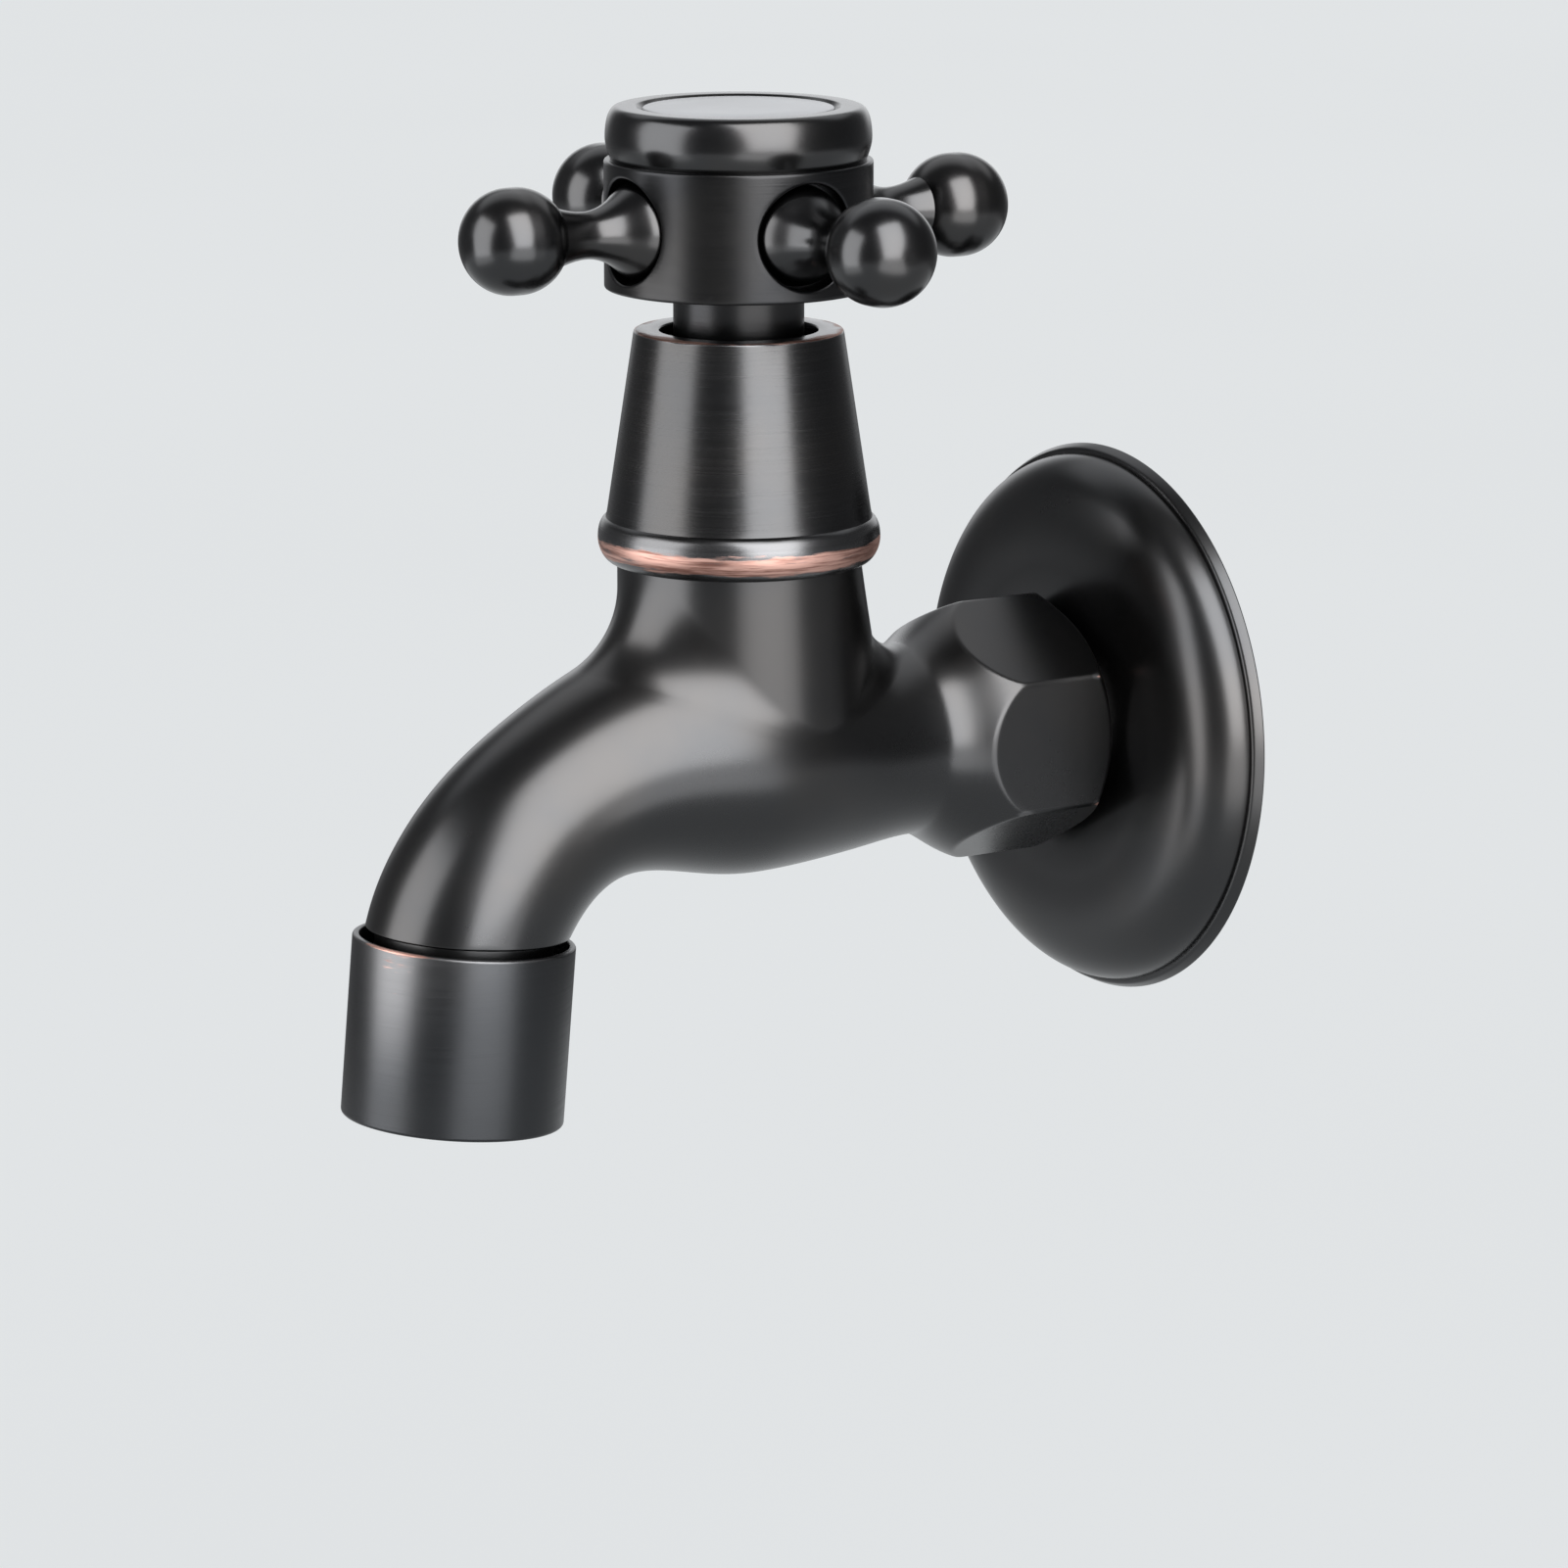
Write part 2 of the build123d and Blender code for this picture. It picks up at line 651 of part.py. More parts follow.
def make_handle_arm(angle):
    """Turned arm with its stud and its ball, a short barrel with large round corners."""
    flat = ball_radius - ball_corner_radius
    diagonal = flat + ball_corner_radius * math.sqrt(0.5)
    back_middle = ball_reach - flat
    front_middle = ball_reach + flat
    ball_back = back_middle - math.sqrt(ball_corner_radius**2 - (arm_neck_radius - flat) ** 2)
    ball_end = front_middle + ball_corner_radius
    root = (arm_root_radius, arm_recess_floor)
    waist = (arm_waist_radius, arm_waist_reach)
    ball_foot = (arm_neck_radius, ball_back)
    stud = Polyline((0, arm_stud_end), (arm_stud_radius, arm_stud_end), (arm_stud_radius, arm_recess_floor), root)
    outline = [
        *stud.edges(),
        Spline([root, waist], tangents=[(-0.7, 1), (0, 1)]),
        Spline([waist, ball_foot], tangents=[(0, 1), (0.35, 1)]),
        ThreePointArc(ball_foot, (diagonal, back_middle - diagonal + flat), (ball_radius, back_middle)),
        Line((ball_radius, back_middle), (ball_radius, front_middle)),
        ThreePointArc((ball_radius, front_middle), (diagonal, front_middle + diagonal - flat), (flat, ball_end)),
        Line((flat, ball_end), (0, ball_end)),
        Line((0, ball_end), (0, arm_stud_end)),
    ]
    return at_handle(at_arm(turned_outline(outline), angle))


def make_handle_cap():
    """Rounded ring on the hub, with a stepped opening for the index disc."""
    foot = (cap_foot_radius, hub_top)
    widest = (cap_radius, hub_top + cap_widest_height)
    flat = (cap_flat_radius, cap_top)
    seat_radius = index_radius + running_gap
    inside = Polyline(
        flat,
        (seat_radius + cap_bevel, cap_top),
        (seat_radius, cap_top - cap_bevel),
        (seat_radius, index_ledge),
        (cap_opening_radius, index_ledge),
        (cap_opening_radius, hub_top - cap_spigot_depth),
        (cap_spigot_radius, hub_top - cap_spigot_depth),
        (cap_spigot_radius, hub_top),
        foot,
    )
    outside = [
        Spline([foot, widest], tangents=[(0.35, 1), (0, 1)]),
        Spline([widest, flat], tangents=[(0, 1), (-1, 0)]),
    ]
    return at_handle(turned_outline(outside + list(inside.edges())))


def make_index_disc():
    """Plain disc set into the cap."""
    disc = rod(index_radius, index_ledge, index_top)
    return at_handle(fillet(edges_at(disc, index_top), index_edge_round))


def make_handle_screw():
    """Socket-head screw that holds the hub on the spindle."""
    head_top = screw_seat + screw_head_height
    screw = rod(screw_radius, screw_seat - screw_length, screw_seat)
    screw += rod(screw_head_radius, screw_seat, head_top)
    screw -= prism(hexagon_sketch(screw_socket_flats), head_top - screw_socket_depth, head_top)
    return at_handle(screw)


def make_nozzle_collar():
    """Straight collar with a thin rim round the spout's end and a lip that holds the aerator."""
    rim_bore = collar_radius - collar_rim_wall
    aerator_bore = nozzle_thread_radius + thread_gap
    collar = turned(
        (rim_bore, 0),
        (collar_radius, 0),
        (collar_radius, collar_length),
        (collar_lip_radius, collar_length),
        (collar_lip_radius, aerator_bottom),
        (aerator_bore, aerator_bottom),
        (aerator_bore, collar_rim_depth),
        (rim_bore, collar_rim_depth),
    )
    ends = edges_at(collar, 0) + edges_at(collar, collar_length)
    return at_nozzle(chamfer(ends, collar_edge_chamfer))


def make_aerator_body():
    """Cup with a honeycomb floor and a ledge for the screens."""
    grille_top = aerator_bottom - aerator_grille_thickness
    cup = tube(aerator_radius, cup_radius, washer_bottom, grille_top)
    cup += tube(cup_radius, cup_radius - screen_ledge, washer_bottom + 2 * screen_thickness, grille_top)
    floor = perforated(aerator_radius, aerator_cell_flats, aerator_cell_wall, aerator_wall)
    return at_nozzle(cup + prism(floor, grille_top, aerator_bottom))


def make_aerator_screens():
    """Two perforated discs, one on the other with their holes turned apart."""
    plate = perforated(cup_radius - fit_gap, screen_cell_flats, screen_cell_wall, screen_ledge)
    screens = []
    for index in range(2):
        bottom = washer_bottom + index * screen_thickness
        screens.append(at_nozzle(Rot(0, 0, 30 * index) * prism(plate, bottom, bottom + screen_thickness)))
    return Compound(screens)


def make_aerator_washer():
    """Flat rubber washer between the nozzle's end and the aerator."""
    return at_nozzle(tube(aerator_radius, cup_radius - screen_ledge, nozzle_thread_length, washer_bottom))


def make_parts():
    """All pieces by name."""
    parts = {
        "tap_body": make_tap_body(),
        "wall_flange": make_wall_flange(),
        "bonnet_cover": make_bonnet_cover(),
        "cartridge_housing": make_cartridge_housing(),
        "housing_o_ring": make_housing_o_ring(),
        "seat_seal": make_seat_seal(),
        "fixed_ceramic_disc": at_handle(ported_disc(seal_top, fixed_disc_top)),
        "moving_ceramic_disc": make_moving_disc(),
        "spindle": make_spindle(),
        "spindle_o_rings": make_spindle_o_rings(),
        "slip_washer": make_slip_washer(),
        "circlip": make_circlip(),
        "handle_hub": make_handle_hub(),
        "handle_cap": make_handle_cap(),
        "index_disc": make_index_disc(),
        "handle_screw": make_handle_screw(),
        "nozzle_collar": make_nozzle_collar(),
        "aerator_body": make_aerator_body(),
        "aerator_screens": make_aerator_screens(),
        "aerator_washer": make_aerator_washer(),
    }
    for name, angle in arm_angles().items():
        parts["handle_arm_" + name] = make_handle_arm(angle)
    return parts


os.makedirs("parts", exist_ok=True)
for part_name, part_shape in make_parts().items():
    export_step(part_shape, "parts/" + part_name + ".step")
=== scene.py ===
import json
import math

import bmesh
import bpy
import numpy as np
from mathutils import Matrix, Vector


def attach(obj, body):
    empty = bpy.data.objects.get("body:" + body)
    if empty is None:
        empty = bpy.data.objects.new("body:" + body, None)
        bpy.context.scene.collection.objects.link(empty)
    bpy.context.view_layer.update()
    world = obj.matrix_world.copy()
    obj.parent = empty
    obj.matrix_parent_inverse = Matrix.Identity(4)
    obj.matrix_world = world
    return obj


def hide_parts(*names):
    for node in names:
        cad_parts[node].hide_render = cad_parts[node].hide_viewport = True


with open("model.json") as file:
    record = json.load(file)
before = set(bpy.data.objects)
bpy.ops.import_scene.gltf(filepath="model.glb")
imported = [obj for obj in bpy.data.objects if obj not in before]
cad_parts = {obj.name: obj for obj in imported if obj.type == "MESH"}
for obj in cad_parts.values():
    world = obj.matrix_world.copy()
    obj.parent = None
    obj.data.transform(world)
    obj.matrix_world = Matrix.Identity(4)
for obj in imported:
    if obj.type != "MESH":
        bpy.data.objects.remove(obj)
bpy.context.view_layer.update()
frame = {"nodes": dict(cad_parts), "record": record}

print("frame loaded:", len(frame["nodes"]), "nodes")

# Lengths are written in millimetres as a maker would, and turned into metres when a mesh is made.
# reach = distance out from the wall, height = above the inlet's axis, x = to the side.
metres = 0.001
handleAxis = 46.8  # reach of the axis that the handle, the neck and the cover share


def picked(sizes, *keys):
    return [sizes[key] for key in keys]


# Lines and outlines

samePoint = 1e-5  # points nearer than this are one point


def cubicLine(points, startSlope, endSlope):
    # A cubic through the points, timed by the chords between them: the slopes inside are solved so that
    # its bend is continuous, and the end slopes are per unit of chord. The first two columns are the place.
    # It returns the length in chords and the function that gives value and rate there.
    points = np.asarray(points, float)
    chord = np.hypot(*np.diff(points[:, :2], axis=0).T)
    knots = np.concatenate([[0.0], np.cumsum(chord)])
    count = len(points)
    system, right = np.eye(count), np.zeros_like(points)
    right[0], right[-1] = startSlope, endSlope
    for i in range(1, count - 1):
        system[i, i - 1:i + 2] = 1 / chord[i - 1], 2 / chord[i - 1] + 2 / chord[i], 1 / chord[i]
        right[i] = 3 * (
            (points[i] - points[i - 1]) / chord[i - 1] ** 2 + (points[i + 1] - points[i]) / chord[i] ** 2
        )
    slopes = np.linalg.solve(system, right)

    def at(where):
        # Hermite cubic of the span that each value of where falls in, and its rate of change.
        where = np.asarray(where, float)
        i = np.clip(np.searchsorted(knots, where, side="right") - 1, 0, count - 2)
        step = chord[i][..., None]
        t = ((where - knots[i]) / chord[i])[..., None]
        p, q, a, b = points[i], points[i + 1], slopes[i] * step, slopes[i + 1] * step
        value = (1 - t) ** 2 * (p * (1 + 2 * t) + a * t) + t ** 2 * (q * (3 - 2 * t) + b * (t - 1))
        rate = (6 * (t * t - t) * (p - q) + a * (1 - t) * (1 - 3 * t) + b * t * (3 * t - 2)) / step
        return value, rate

    return knots[-1], at


def bend(points, startSlope, endSlope, steps=14):
    # Outline points along a cubic, with its end directions as unit vectors.
    unit = [np.asarray(slope, float) / np.hypot(*slope) for slope in (startSlope, endSlope)]
    length, at = cubicLine(points, *unit)
    return at(np.linspace(0, length, steps * (len(points) - 1) + 1))[0]


def softened(corners, steps=5):
    # Polyline whose corners, given as (radius, height, rounding), are replaced by arcs that touch both
    # sides: the arc starts rounding / tan(half the corner's angle) before the corner.
    corners = [tuple(corner) + (0.0,) * (3 - len(corner)) for corner in corners]
    out = []
    for i, (radius, height, rounding) in enumerate(corners):
        here = np.array([radius, height])
        if rounding <= 0 or i in (0, len(corners) - 1):
            out.append(here[None])
            continue
        before, after = np.array(corners[i - 1][:2]) - here, np.array(corners[i + 1][:2]) - here
        before, after = before / np.hypot(*before), after / np.hypot(*after)
        half = math.acos(max(-1.0, min(1.0, float(before @ after)))) / 2
        middle = (before + after) / np.hypot(*(before + after))
        centre = here + middle * rounding / math.sin(half)
        first = here + before * rounding / math.tan(half) - centre
        last = here + after * rounding / math.tan(half) - centre
        sweep = math.pi - 2 * half
        t = np.linspace(0, 1, steps + 1)[:, None]
        way = first * np.sin((1 - t) * sweep) + last * np.sin(t * sweep)
        out.append(centre + way / math.sin(sweep))
    return np.vstack(out)


def arcBetween(centre, radius, startAngle, endAngle, steps=20):
    # Circular arc in the outline's plane, angles in degrees from the radius axis.
    angle = np.radians(np.linspace(startAngle, endAngle, steps + 1))
    return np.stack([centre[0] + radius * np.cos(angle), centre[1] + radius * np.sin(angle)], 1)


def joined(*parts):
    # One outline from several, without the points that repeat.
    line = np.vstack(parts)
    keep = np.concatenate([[True], np.hypot(*np.diff(line, axis=0).T) > samePoint])
    return line[keep]


# Patches and pieces

def patch(rows, wrap):
    # rows is an array (rows, columns, 3) in millimetres. Neighbours make quads, and wrap closes the columns.
    rows = np.asarray(rows, float)
    height, width = rows.shape[:2]
    index = np.arange(height * width).reshape(height, width)
    right = np.roll(index, -1, axis=1) if wrap else index[:, 1:]
    left = index if wrap else index[:, :-1]
    quads = np.stack([left[:-1], right[:-1], right[1:], left[1:]], -1).reshape(-1, 4)
    return rows.reshape(-1, 3), quads


meshing = {"mergeMetres": 2e-6, "degenerateMetres": 1e-7, "creaseDegrees": 32}


def linked(name, data):
    made = bpy.data.objects.new(name, data)
    bpy.context.scene.collection.objects.link(made)
    return made


def makePiece(name, patches, body, nodes, wear=None):
    # Patches are put together, points that meet are merged, faces are turned outwards and creases are kept.
    # wear gives 0 to 1 at each point, as an attribute for the finish.
    points, quads, offset = [], [], 0
    for verts, faces in patches:
        points.append(verts)
        quads.append(faces + offset)
        offset += len(verts)
    points, quads = np.vstack(points), np.vstack(quads)
    mesh = bpy.data.meshes.new(name)
    mesh.from_pydata((points * metres).tolist(), [], quads.tolist())
    if wear is not None:
        layer = mesh.attributes.new("wear", "FLOAT", "POINT")
        layer.data.foreach_set("value", np.clip(wear(points), 0, 1).astype(np.float32))
    working = bmesh.new()
    working.from_mesh(mesh)
    bmesh.ops.remove_doubles(working, verts=working.verts, dist=meshing["mergeMetres"])
    bmesh.ops.dissolve_degenerate(working, edges=working.edges, dist=meshing["degenerateMetres"])
    bmesh.ops.recalc_face_normals(working, faces=working.faces)
    working.to_mesh(mesh)
    working.free()
    mesh.shade_smooth()
    mesh.set_sharp_from_angle(angle=math.radians(meshing["creaseDegrees"]))
    piece = linked(name, mesh)
    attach(piece, body)
    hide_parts(*nodes)
    print("  ", name, len(mesh.polygons), "faces")
    return piece


def turnedPatch(outline, angle, origin=(0, -handleAxis, 0), axis=(0, 0, 1), side=(1, 0, 0)):
    # Outline (radius, height) carried round an axis:
    # point = origin + radius cos a side + radius sin a (axis x side) + height axis.
    radius, height = outline[:, :1], outline[:, 1:]
    rows = np.stack([radius * np.cos(angle), radius * np.sin(angle), height + 0 * angle], -1)
    return patch(rows @ np.array([side, np.cross(axis, side), axis], float) + np.array(origin, float), True)


def makeTurned(name, outline, columns, body, node, slotName, wear=None, **place):
    # One piece of an outline, which is closed unless it starts on the axis.
    if outline[0, 0] > 0:
        outline = np.vstack([outline, outline[:1]])
    angle = np.linspace(0, 2 * np.pi, columns, endpoint=False)
    return makePiece(name, [turnedPatch(outline, angle, **place)], body, [node], wear)


def aboutInlet(radius, reach, angle):
    # Points round the inlet's axis, at angles from the top, in the shared frame, where the wall is y = 0.
    return np.stack(np.broadcast_arrays(radius * np.sin(angle), -reach, radius * np.cos(angle)), -1)


def hump(value, middle, spread):
    return np.exp(-((value - middle) / spread) ** 2)


# The cast body

castBody = {
    "waist": (27.0, 10.3),  # reach and radius
    "stations": [(34.92, 0.1, 11.3), (46.8, 1.5, 13.5), (53.4, 1.8, 13.1), (68.0, -1.4, 10.25),
                 (74.7, -6.1, 10.1), (78.3, -10.6, 10.25)],  # reach, height and radius
    "spoutEnd": (80.4, -15.05, 10.3), "spoutSlope": 17.0,  # degrees from straight down
    "barrelRadius": 12.5, "lipRound": 0.25,
    "hexagonFlats": 24.6, "hexagonRound": 0.6, "hexagonChamfer": 1.7,
    "hexagonBack": (7.4, 12.25),  # reach and radius
    "shoulder": [(14.2, 18.4), (12.3, 22.5), (10.3, 27.0)],  # radius and reach
    "shoulderSlope": -0.15, "edgeSoftness": 0.22,
    "neckRadius": 12.8, "neckTop": 21.5, "neckFlare": 1.5,
    "blendFront": 11.5, "blendRear": 5.5, "creaseRound": 0.7,
    "patchEnds": (23.4, 72.6),  # reach of the rear and the front of the skin that the neck's blend cuts
    "patchSide": 110.0,  # degrees from the top to the side of that skin
    "neckSeat": [(12.0, 21.5), (12.0, 25.8), (11.5, 26.3), (9.53, 26.3), (9.53, 4.0), (0.0, 4.0)],
    "threadRadius": 10.4775, "threadPitch": 1.814, "threadDepth": 1.16, "threadStart": 1.0,
    "threadReach": 10.6, "threadLead": 0.8, "threadRunOut": 1.6, "toothFlank": 1.25, "toothFoot": 0.12,
    "shankRadius": 10.2, "boreChamfer": 0.6, "inletBore": (7.0, 24.4),  # radius and reach of its end
    "wornBehind": (1.6, 9.0, 0.7, 0.62),  # degrees off the corner, reach, length and strength
    "wornAhead": (1.4, 18.4, 0.8, 0.55), "wornFrom": 13.2,
}
nozzle = {
    "tilt": 5.1, "gap": 0.7, "reliefRadius": 9.3, "rimDepth": 3.2, "mouth": (8.0, 3.0),
    "threadRadius": 9.9, "threadPitch": 1.0, "threadDepth": 0.55, "threadLength": 11.0,
    "threadLead": 0.5, "threadRunOut": 1.0, "toothFlank": 1.0, "toothFoot": 0.0,
    "boreRadius": 5.5, "boreEnd": 0.5,
}
rowCounts = {
    "thread": 94, "nozzleThread": 66, "barrelRear": 11, "barrel": 70, "spout": 40, "skirt": 26, "crease": 8,
    "patchRing": 20, "neck": 9, "flat": 12, "shoulder": 10,
}
ringPower = 1.2  # the rows of the patch's ring lie closer together at the crease
hexagonSteps = {
    "chamfer": (0.4, 0.75),  # shares of its width
    "foot": (0.0, 0.12, 0.3), "before": 0.5,  # reach past the flat's start, and left over at its end
    "crest": (-0.3, -0.18, -0.08, 0.0, 0.08, 0.18, 0.3),  # reach about its end
}
solving = {
    "tiny": 1e-6, "small": 1e-4, "ballSteps": 60, "ballShare": 0.7, "ballMove": (-1.0, 1.0),
    "ballTurn": (-0.1, 0.1), "guessEnds": (-3.5, 8.0), "guessRadius": 13.0, "guessSide": 0.98,
    "halvings": 50, "bendStep": 0.05, "shoulderSamples": 800, "faceReserve": 6.0, "lastTouch": 0.9,
    "least": 1e-9,
}
mirrored = np.array([1, -1, 1])  # reach runs against the shared frame's y
nozzleLean = math.radians(nozzle["tilt"])
nozzleOrigin = np.array([0.0, -castBody["spoutEnd"][0], castBody["spoutEnd"][1]])
nozzleDown = np.array([0.0, -math.sin(nozzleLean), -math.cos(nozzleLean)])


def shoulderAt(reach):
    # Radius of the polished shoulder and its rate, as a cubic of the reach.
    reach = np.asarray(reach)
    inside = np.clip(reach, shoulderStart, waistReach)
    value, rate = shoulderCubic(inside - shoulderStart)
    return value[..., 2], np.where(inside == reach, rate[..., 2], 0)


shoulderPoints = [(reach, 0, radius) for radius, reach in castBody["shoulder"]]
shoulderRadius, shoulderStart = castBody["shoulder"][0]
shoulderCubic = cubicLine(shoulderPoints, (1, 0, castBody["shoulderSlope"]), (1, 0, 0))[1]
waistReach, waistRadius = castBody["waist"]
patchStart, patchEnd = (reach - waistReach for reach in castBody["patchEnds"])
spoutSlope = math.radians(castBody["spoutSlope"])
spineLength, spineAt = cubicLine(
    [(waistReach, 0.0, waistRadius)] + castBody["stations"] + [castBody["spoutEnd"]],
    (1, 0, 0), (math.sin(spoutSlope), -math.cos(spoutSlope), 0),
)


def spine(along, thin=False):
    # Centre line and radius: behind the waist it runs straight back into the shoulder, or stays as thin as
    # the waist, and past the spout's last station it runs straight on. It returns the place (reach, height),
    # the unit direction, the radius and its rate.
    along = np.asarray(along, float)
    inside = np.clip(along, 0, spineLength)
    value, rate = spineAt(inside)
    speed = np.hypot(rate[..., 0], rate[..., 1])
    direction = rate[..., :2] / speed[..., None]
    place = value[..., :2] + direction * (along - inside)[..., None]
    behind = (along < 0) & (not thin)
    shoulderSize, shoulderRate = shoulderAt(waistReach + along)
    radius = np.where(behind, shoulderSize, value[..., 2])
    growth = np.where(behind, shoulderRate, np.where(along == inside, rate[..., 2] / speed, 0))
    return place, direction, radius, growth


def cross(a, b):
    return a[..., 0] * b[..., 1] - a[..., 1] * b[..., 0]


def skin(along, angle, thin=False):
    # Point of the round skin: place + radius (cos angle * up + sin angle * side), and its outward normal,
    # which is spoke * (1 - turn radius cos angle) - growth * direction, made a unit vector.
    place, direction, radius, growth = spine(along, thin)
    step = solving["bendStep"]
    before, after = spine(along - step)[1], spine(along + step)[1]
    turn = cross(before, after) / (2 * step)
    up, side = np.cos(angle), np.sin(angle)
    spoke = np.stack([side, -direction[..., 1] * up, direction[..., 0] * up], -1)
    centre = np.stack([0 * place[..., 0], place[..., 0], place[..., 1]], -1)
    forward = np.stack([0 * up, direction[..., 0], direction[..., 1]], -1)
    point = centre + radius[..., None] * spoke
    normal = spoke * (1 - turn * radius * up)[..., None] - growth[..., None] * forward
    return point, normal / np.linalg.norm(normal, axis=-1, keepdims=True)


def neckBlend(bearing):
    # Radius of the ball that rolls round the neck, and of the neck's foot: towards the wall the ball gets
    # smaller and the foot flares.
    share = (1 + np.cos(bearing)) / 2
    ball = castBody["blendRear"] + (castBody["blendFront"] - castBody["blendRear"]) * share
    return ball, castBody["neckRadius"] + castBody["neckFlare"] * (1 - share) ** 3


def ballContact(bearing):
    # A ball rolls round the neck and rests on the thin skin. For each bearing about the handle's axis its
    # place there is found by Newton's steps, from a guess beside the neck, so that
    # skin + ball radius * normal stands at foot radius + ball radius.
    ball, foot = neckBlend(bearing)
    distance = foot + ball
    wanted = np.stack([distance * np.sin(bearing), handleAxis + distance * np.cos(bearing)], -1)
    (rearEnd, frontEnd), widest = picked(solving, "guessEnds", "guessSide")
    along = np.clip(wanted[:, 1] - waistReach, rearEnd, spineLength - frontEnd)
    angle = np.arcsin(np.clip(wanted[:, 0] / (solving["guessRadius"] + ball), -widest, widest))

    def miss(along, angle):
        point, normal = skin(along, angle, True)
        return (point + ball[:, None] * normal)[:, :2] - wanted

    small = solving["small"]
    for turn in range(solving["ballSteps"]):
        off = miss(along, angle)
        byAlong = (miss(along + small, angle) - off) / small
        byAngle = (miss(along, angle + small) - off) / small
        scale = cross(byAlong, byAngle)
        along = along - np.clip(cross(off, byAngle) / scale, *solving["ballMove"]) * solving["ballShare"]
        angle = angle - np.clip(cross(byAlong, off) / scale, *solving["ballTurn"]) * solving["ballShare"]
    off = miss(along, angle)
    print("   ball rolled, worst miss %.4f mm" % np.abs(off).max())
    point, normal = skin(along, angle, True)
    return along, angle, normal, point + ball[:, None] * normal


def hexagonRadius(angle):
    # Radius of a hexagon with rounded corners against the angle from one corner.
    flat, rounding = castBody["hexagonFlats"] / 2, castBody["hexagonRound"]
    off = np.abs((np.degrees(angle) + 30) % 60 - 30)
    corner = (flat - rounding) / math.cos(math.radians(30))
    touch = 30 - math.degrees(math.atan(corner * 0.5 / flat))
    plain = flat / np.cos(np.radians(30 - off))
    turn = np.radians(np.minimum(off, touch))
    rounded = corner * np.cos(turn) + np.sqrt(rounding ** 2 - (corner * np.sin(turn)) ** 2)
    return np.where(off < touch, rounded, plain)


def softMinimum(a, b, width):
    # The smaller of two lengths, with a fillet of about the given width where they cross.
    share = np.clip(0.5 + 0.5 * (b - a) / width, 0, 1)
    return b * (1 - share) + a * share - width * share * (1 - share)


def skinColumns():
    # Angles round the body: even, and closer together at the six corners of the hexagon.
    even = np.arange(0, 360, 2.0)
    near = np.array([-1.5, -1.1, -0.8, -0.5, -0.25, 0.25, 0.5, 0.8, 1.1, 1.5])
    corners = (np.arange(0, 360, 60)[:, None] + near).ravel() % 360
    return np.radians(np.unique(np.round(np.concatenate([even, corners]), 4)))


def bisected(low, high, isBefore):
    # For each column the place between low and high up to which isBefore holds.
    for turn in range(solving["halvings"]):
        middle = (low + high) / 2
        before = isBefore(middle)
        low, high = np.where(before, middle, low), np.where(before, high, middle)
    return low, high


def hexagonRows(angle):
    # For each angle the rows gather where the flat meets the chamfer and where it meets the shoulder.
    # Radius = smallest of the chamfer's cone, the hexagon and the shoulder.
    back, backRadius = castBody["hexagonBack"]
    rise = (shoulderRadius - backRadius) / castBody["hexagonChamfer"]
    flat = hexagonRadius(angle)
    lowEdge = back + (flat - backRadius) / rise
    reach = np.linspace(shoulderStart, waistReach, solving["shoulderSamples"])
    highEdge = np.interp(-flat, -shoulderAt(reach)[0], reach)
    end = patchStart + waistReach
    rows = [back + 0 * angle]
    rows += [back + (lowEdge - back) * share for share in hexagonSteps["chamfer"]]
    rows += [lowEdge + step for step in hexagonSteps["foot"]]
    first, last = lowEdge + hexagonSteps["foot"][-1], highEdge - hexagonSteps["before"]
    rows += [first + (last - first) * share for share in np.linspace(0, 1, rowCounts["flat"])[1:]]
    rows += [highEdge + step for step in hexagonSteps["crest"]]
    first = highEdge + hexagonSteps["crest"][-1]
    rows += [first + (end - first) * share for share in np.linspace(0, 1, rowCounts["shoulder"])[1:]]
    reach = np.array(rows)
    softness = castBody["edgeSoftness"]
    radius = softMinimum(flat + 0 * reach, shoulderAt(reach)[0], softness)
    radius = softMinimum(radius, backRadius + (reach - back) * rise, softness / 2)
    radius[-1] = shoulderAt(end)[0]
    return aboutInlet(radius, reach, angle)


def spoutRows(angle):
    # Rows from the patch's end to the plane of the spout's face: each column ends where the skin meets it.
    def above(along):
        return (skin(along, angle)[0] * mirrored - nozzleOrigin) @ nozzleDown <= -nozzle["gap"]

    reserve = solving["faceReserve"] + 0 * angle
    end = bisected(spineLength - reserve, spineLength + reserve, above)[0]
    softness = castBody["lipRound"]
    shares = np.linspace(0, 1, rowCounts["spout"])[:, None]
    along = patchEnd + (end - softness - patchEnd) * shares
    point = skin(along, angle + 0 * along)[0] * mirrored
    lip = []
    for turn in (20, 45, 70, 90):
        share = math.sin(math.radians(turn))
        inset = softness * (1 - math.cos(math.radians(turn)))
        here, normal = skin(end - softness * (1 - share), angle)
        lip.append((here - normal * inset) * mirrored)
    return np.concatenate([point, np.array(lip)])


def threaded(sizes, inner, way, angle):
    # Radius of a thread along its way. It grows out of the inner radius and ends in a chamfer:
    # radius = top - depth + depth * tooth, where tooth = flank * (1 - |2 phase - 1|) - foot is cut flat at
    # the crest and the root, and phase = way / pitch - angle / turn.
    top, depth = picked(sizes, "threadRadius", "threadDepth")
    phase = (way / sizes["threadPitch"] - angle / (2 * np.pi)) % 1.0
    tooth = np.clip(sizes["toothFlank"] * (1 - np.abs(2 * phase - 1)) - sizes["toothFoot"], 0, 1)
    grown = np.clip((way - way[0]) / sizes["threadRunOut"], 0, 1)
    radius = inner * (1 - grown) + (top - depth + depth * tooth) * grown
    return np.minimum(radius, top - sizes["threadLead"] + (way[-1] - way))


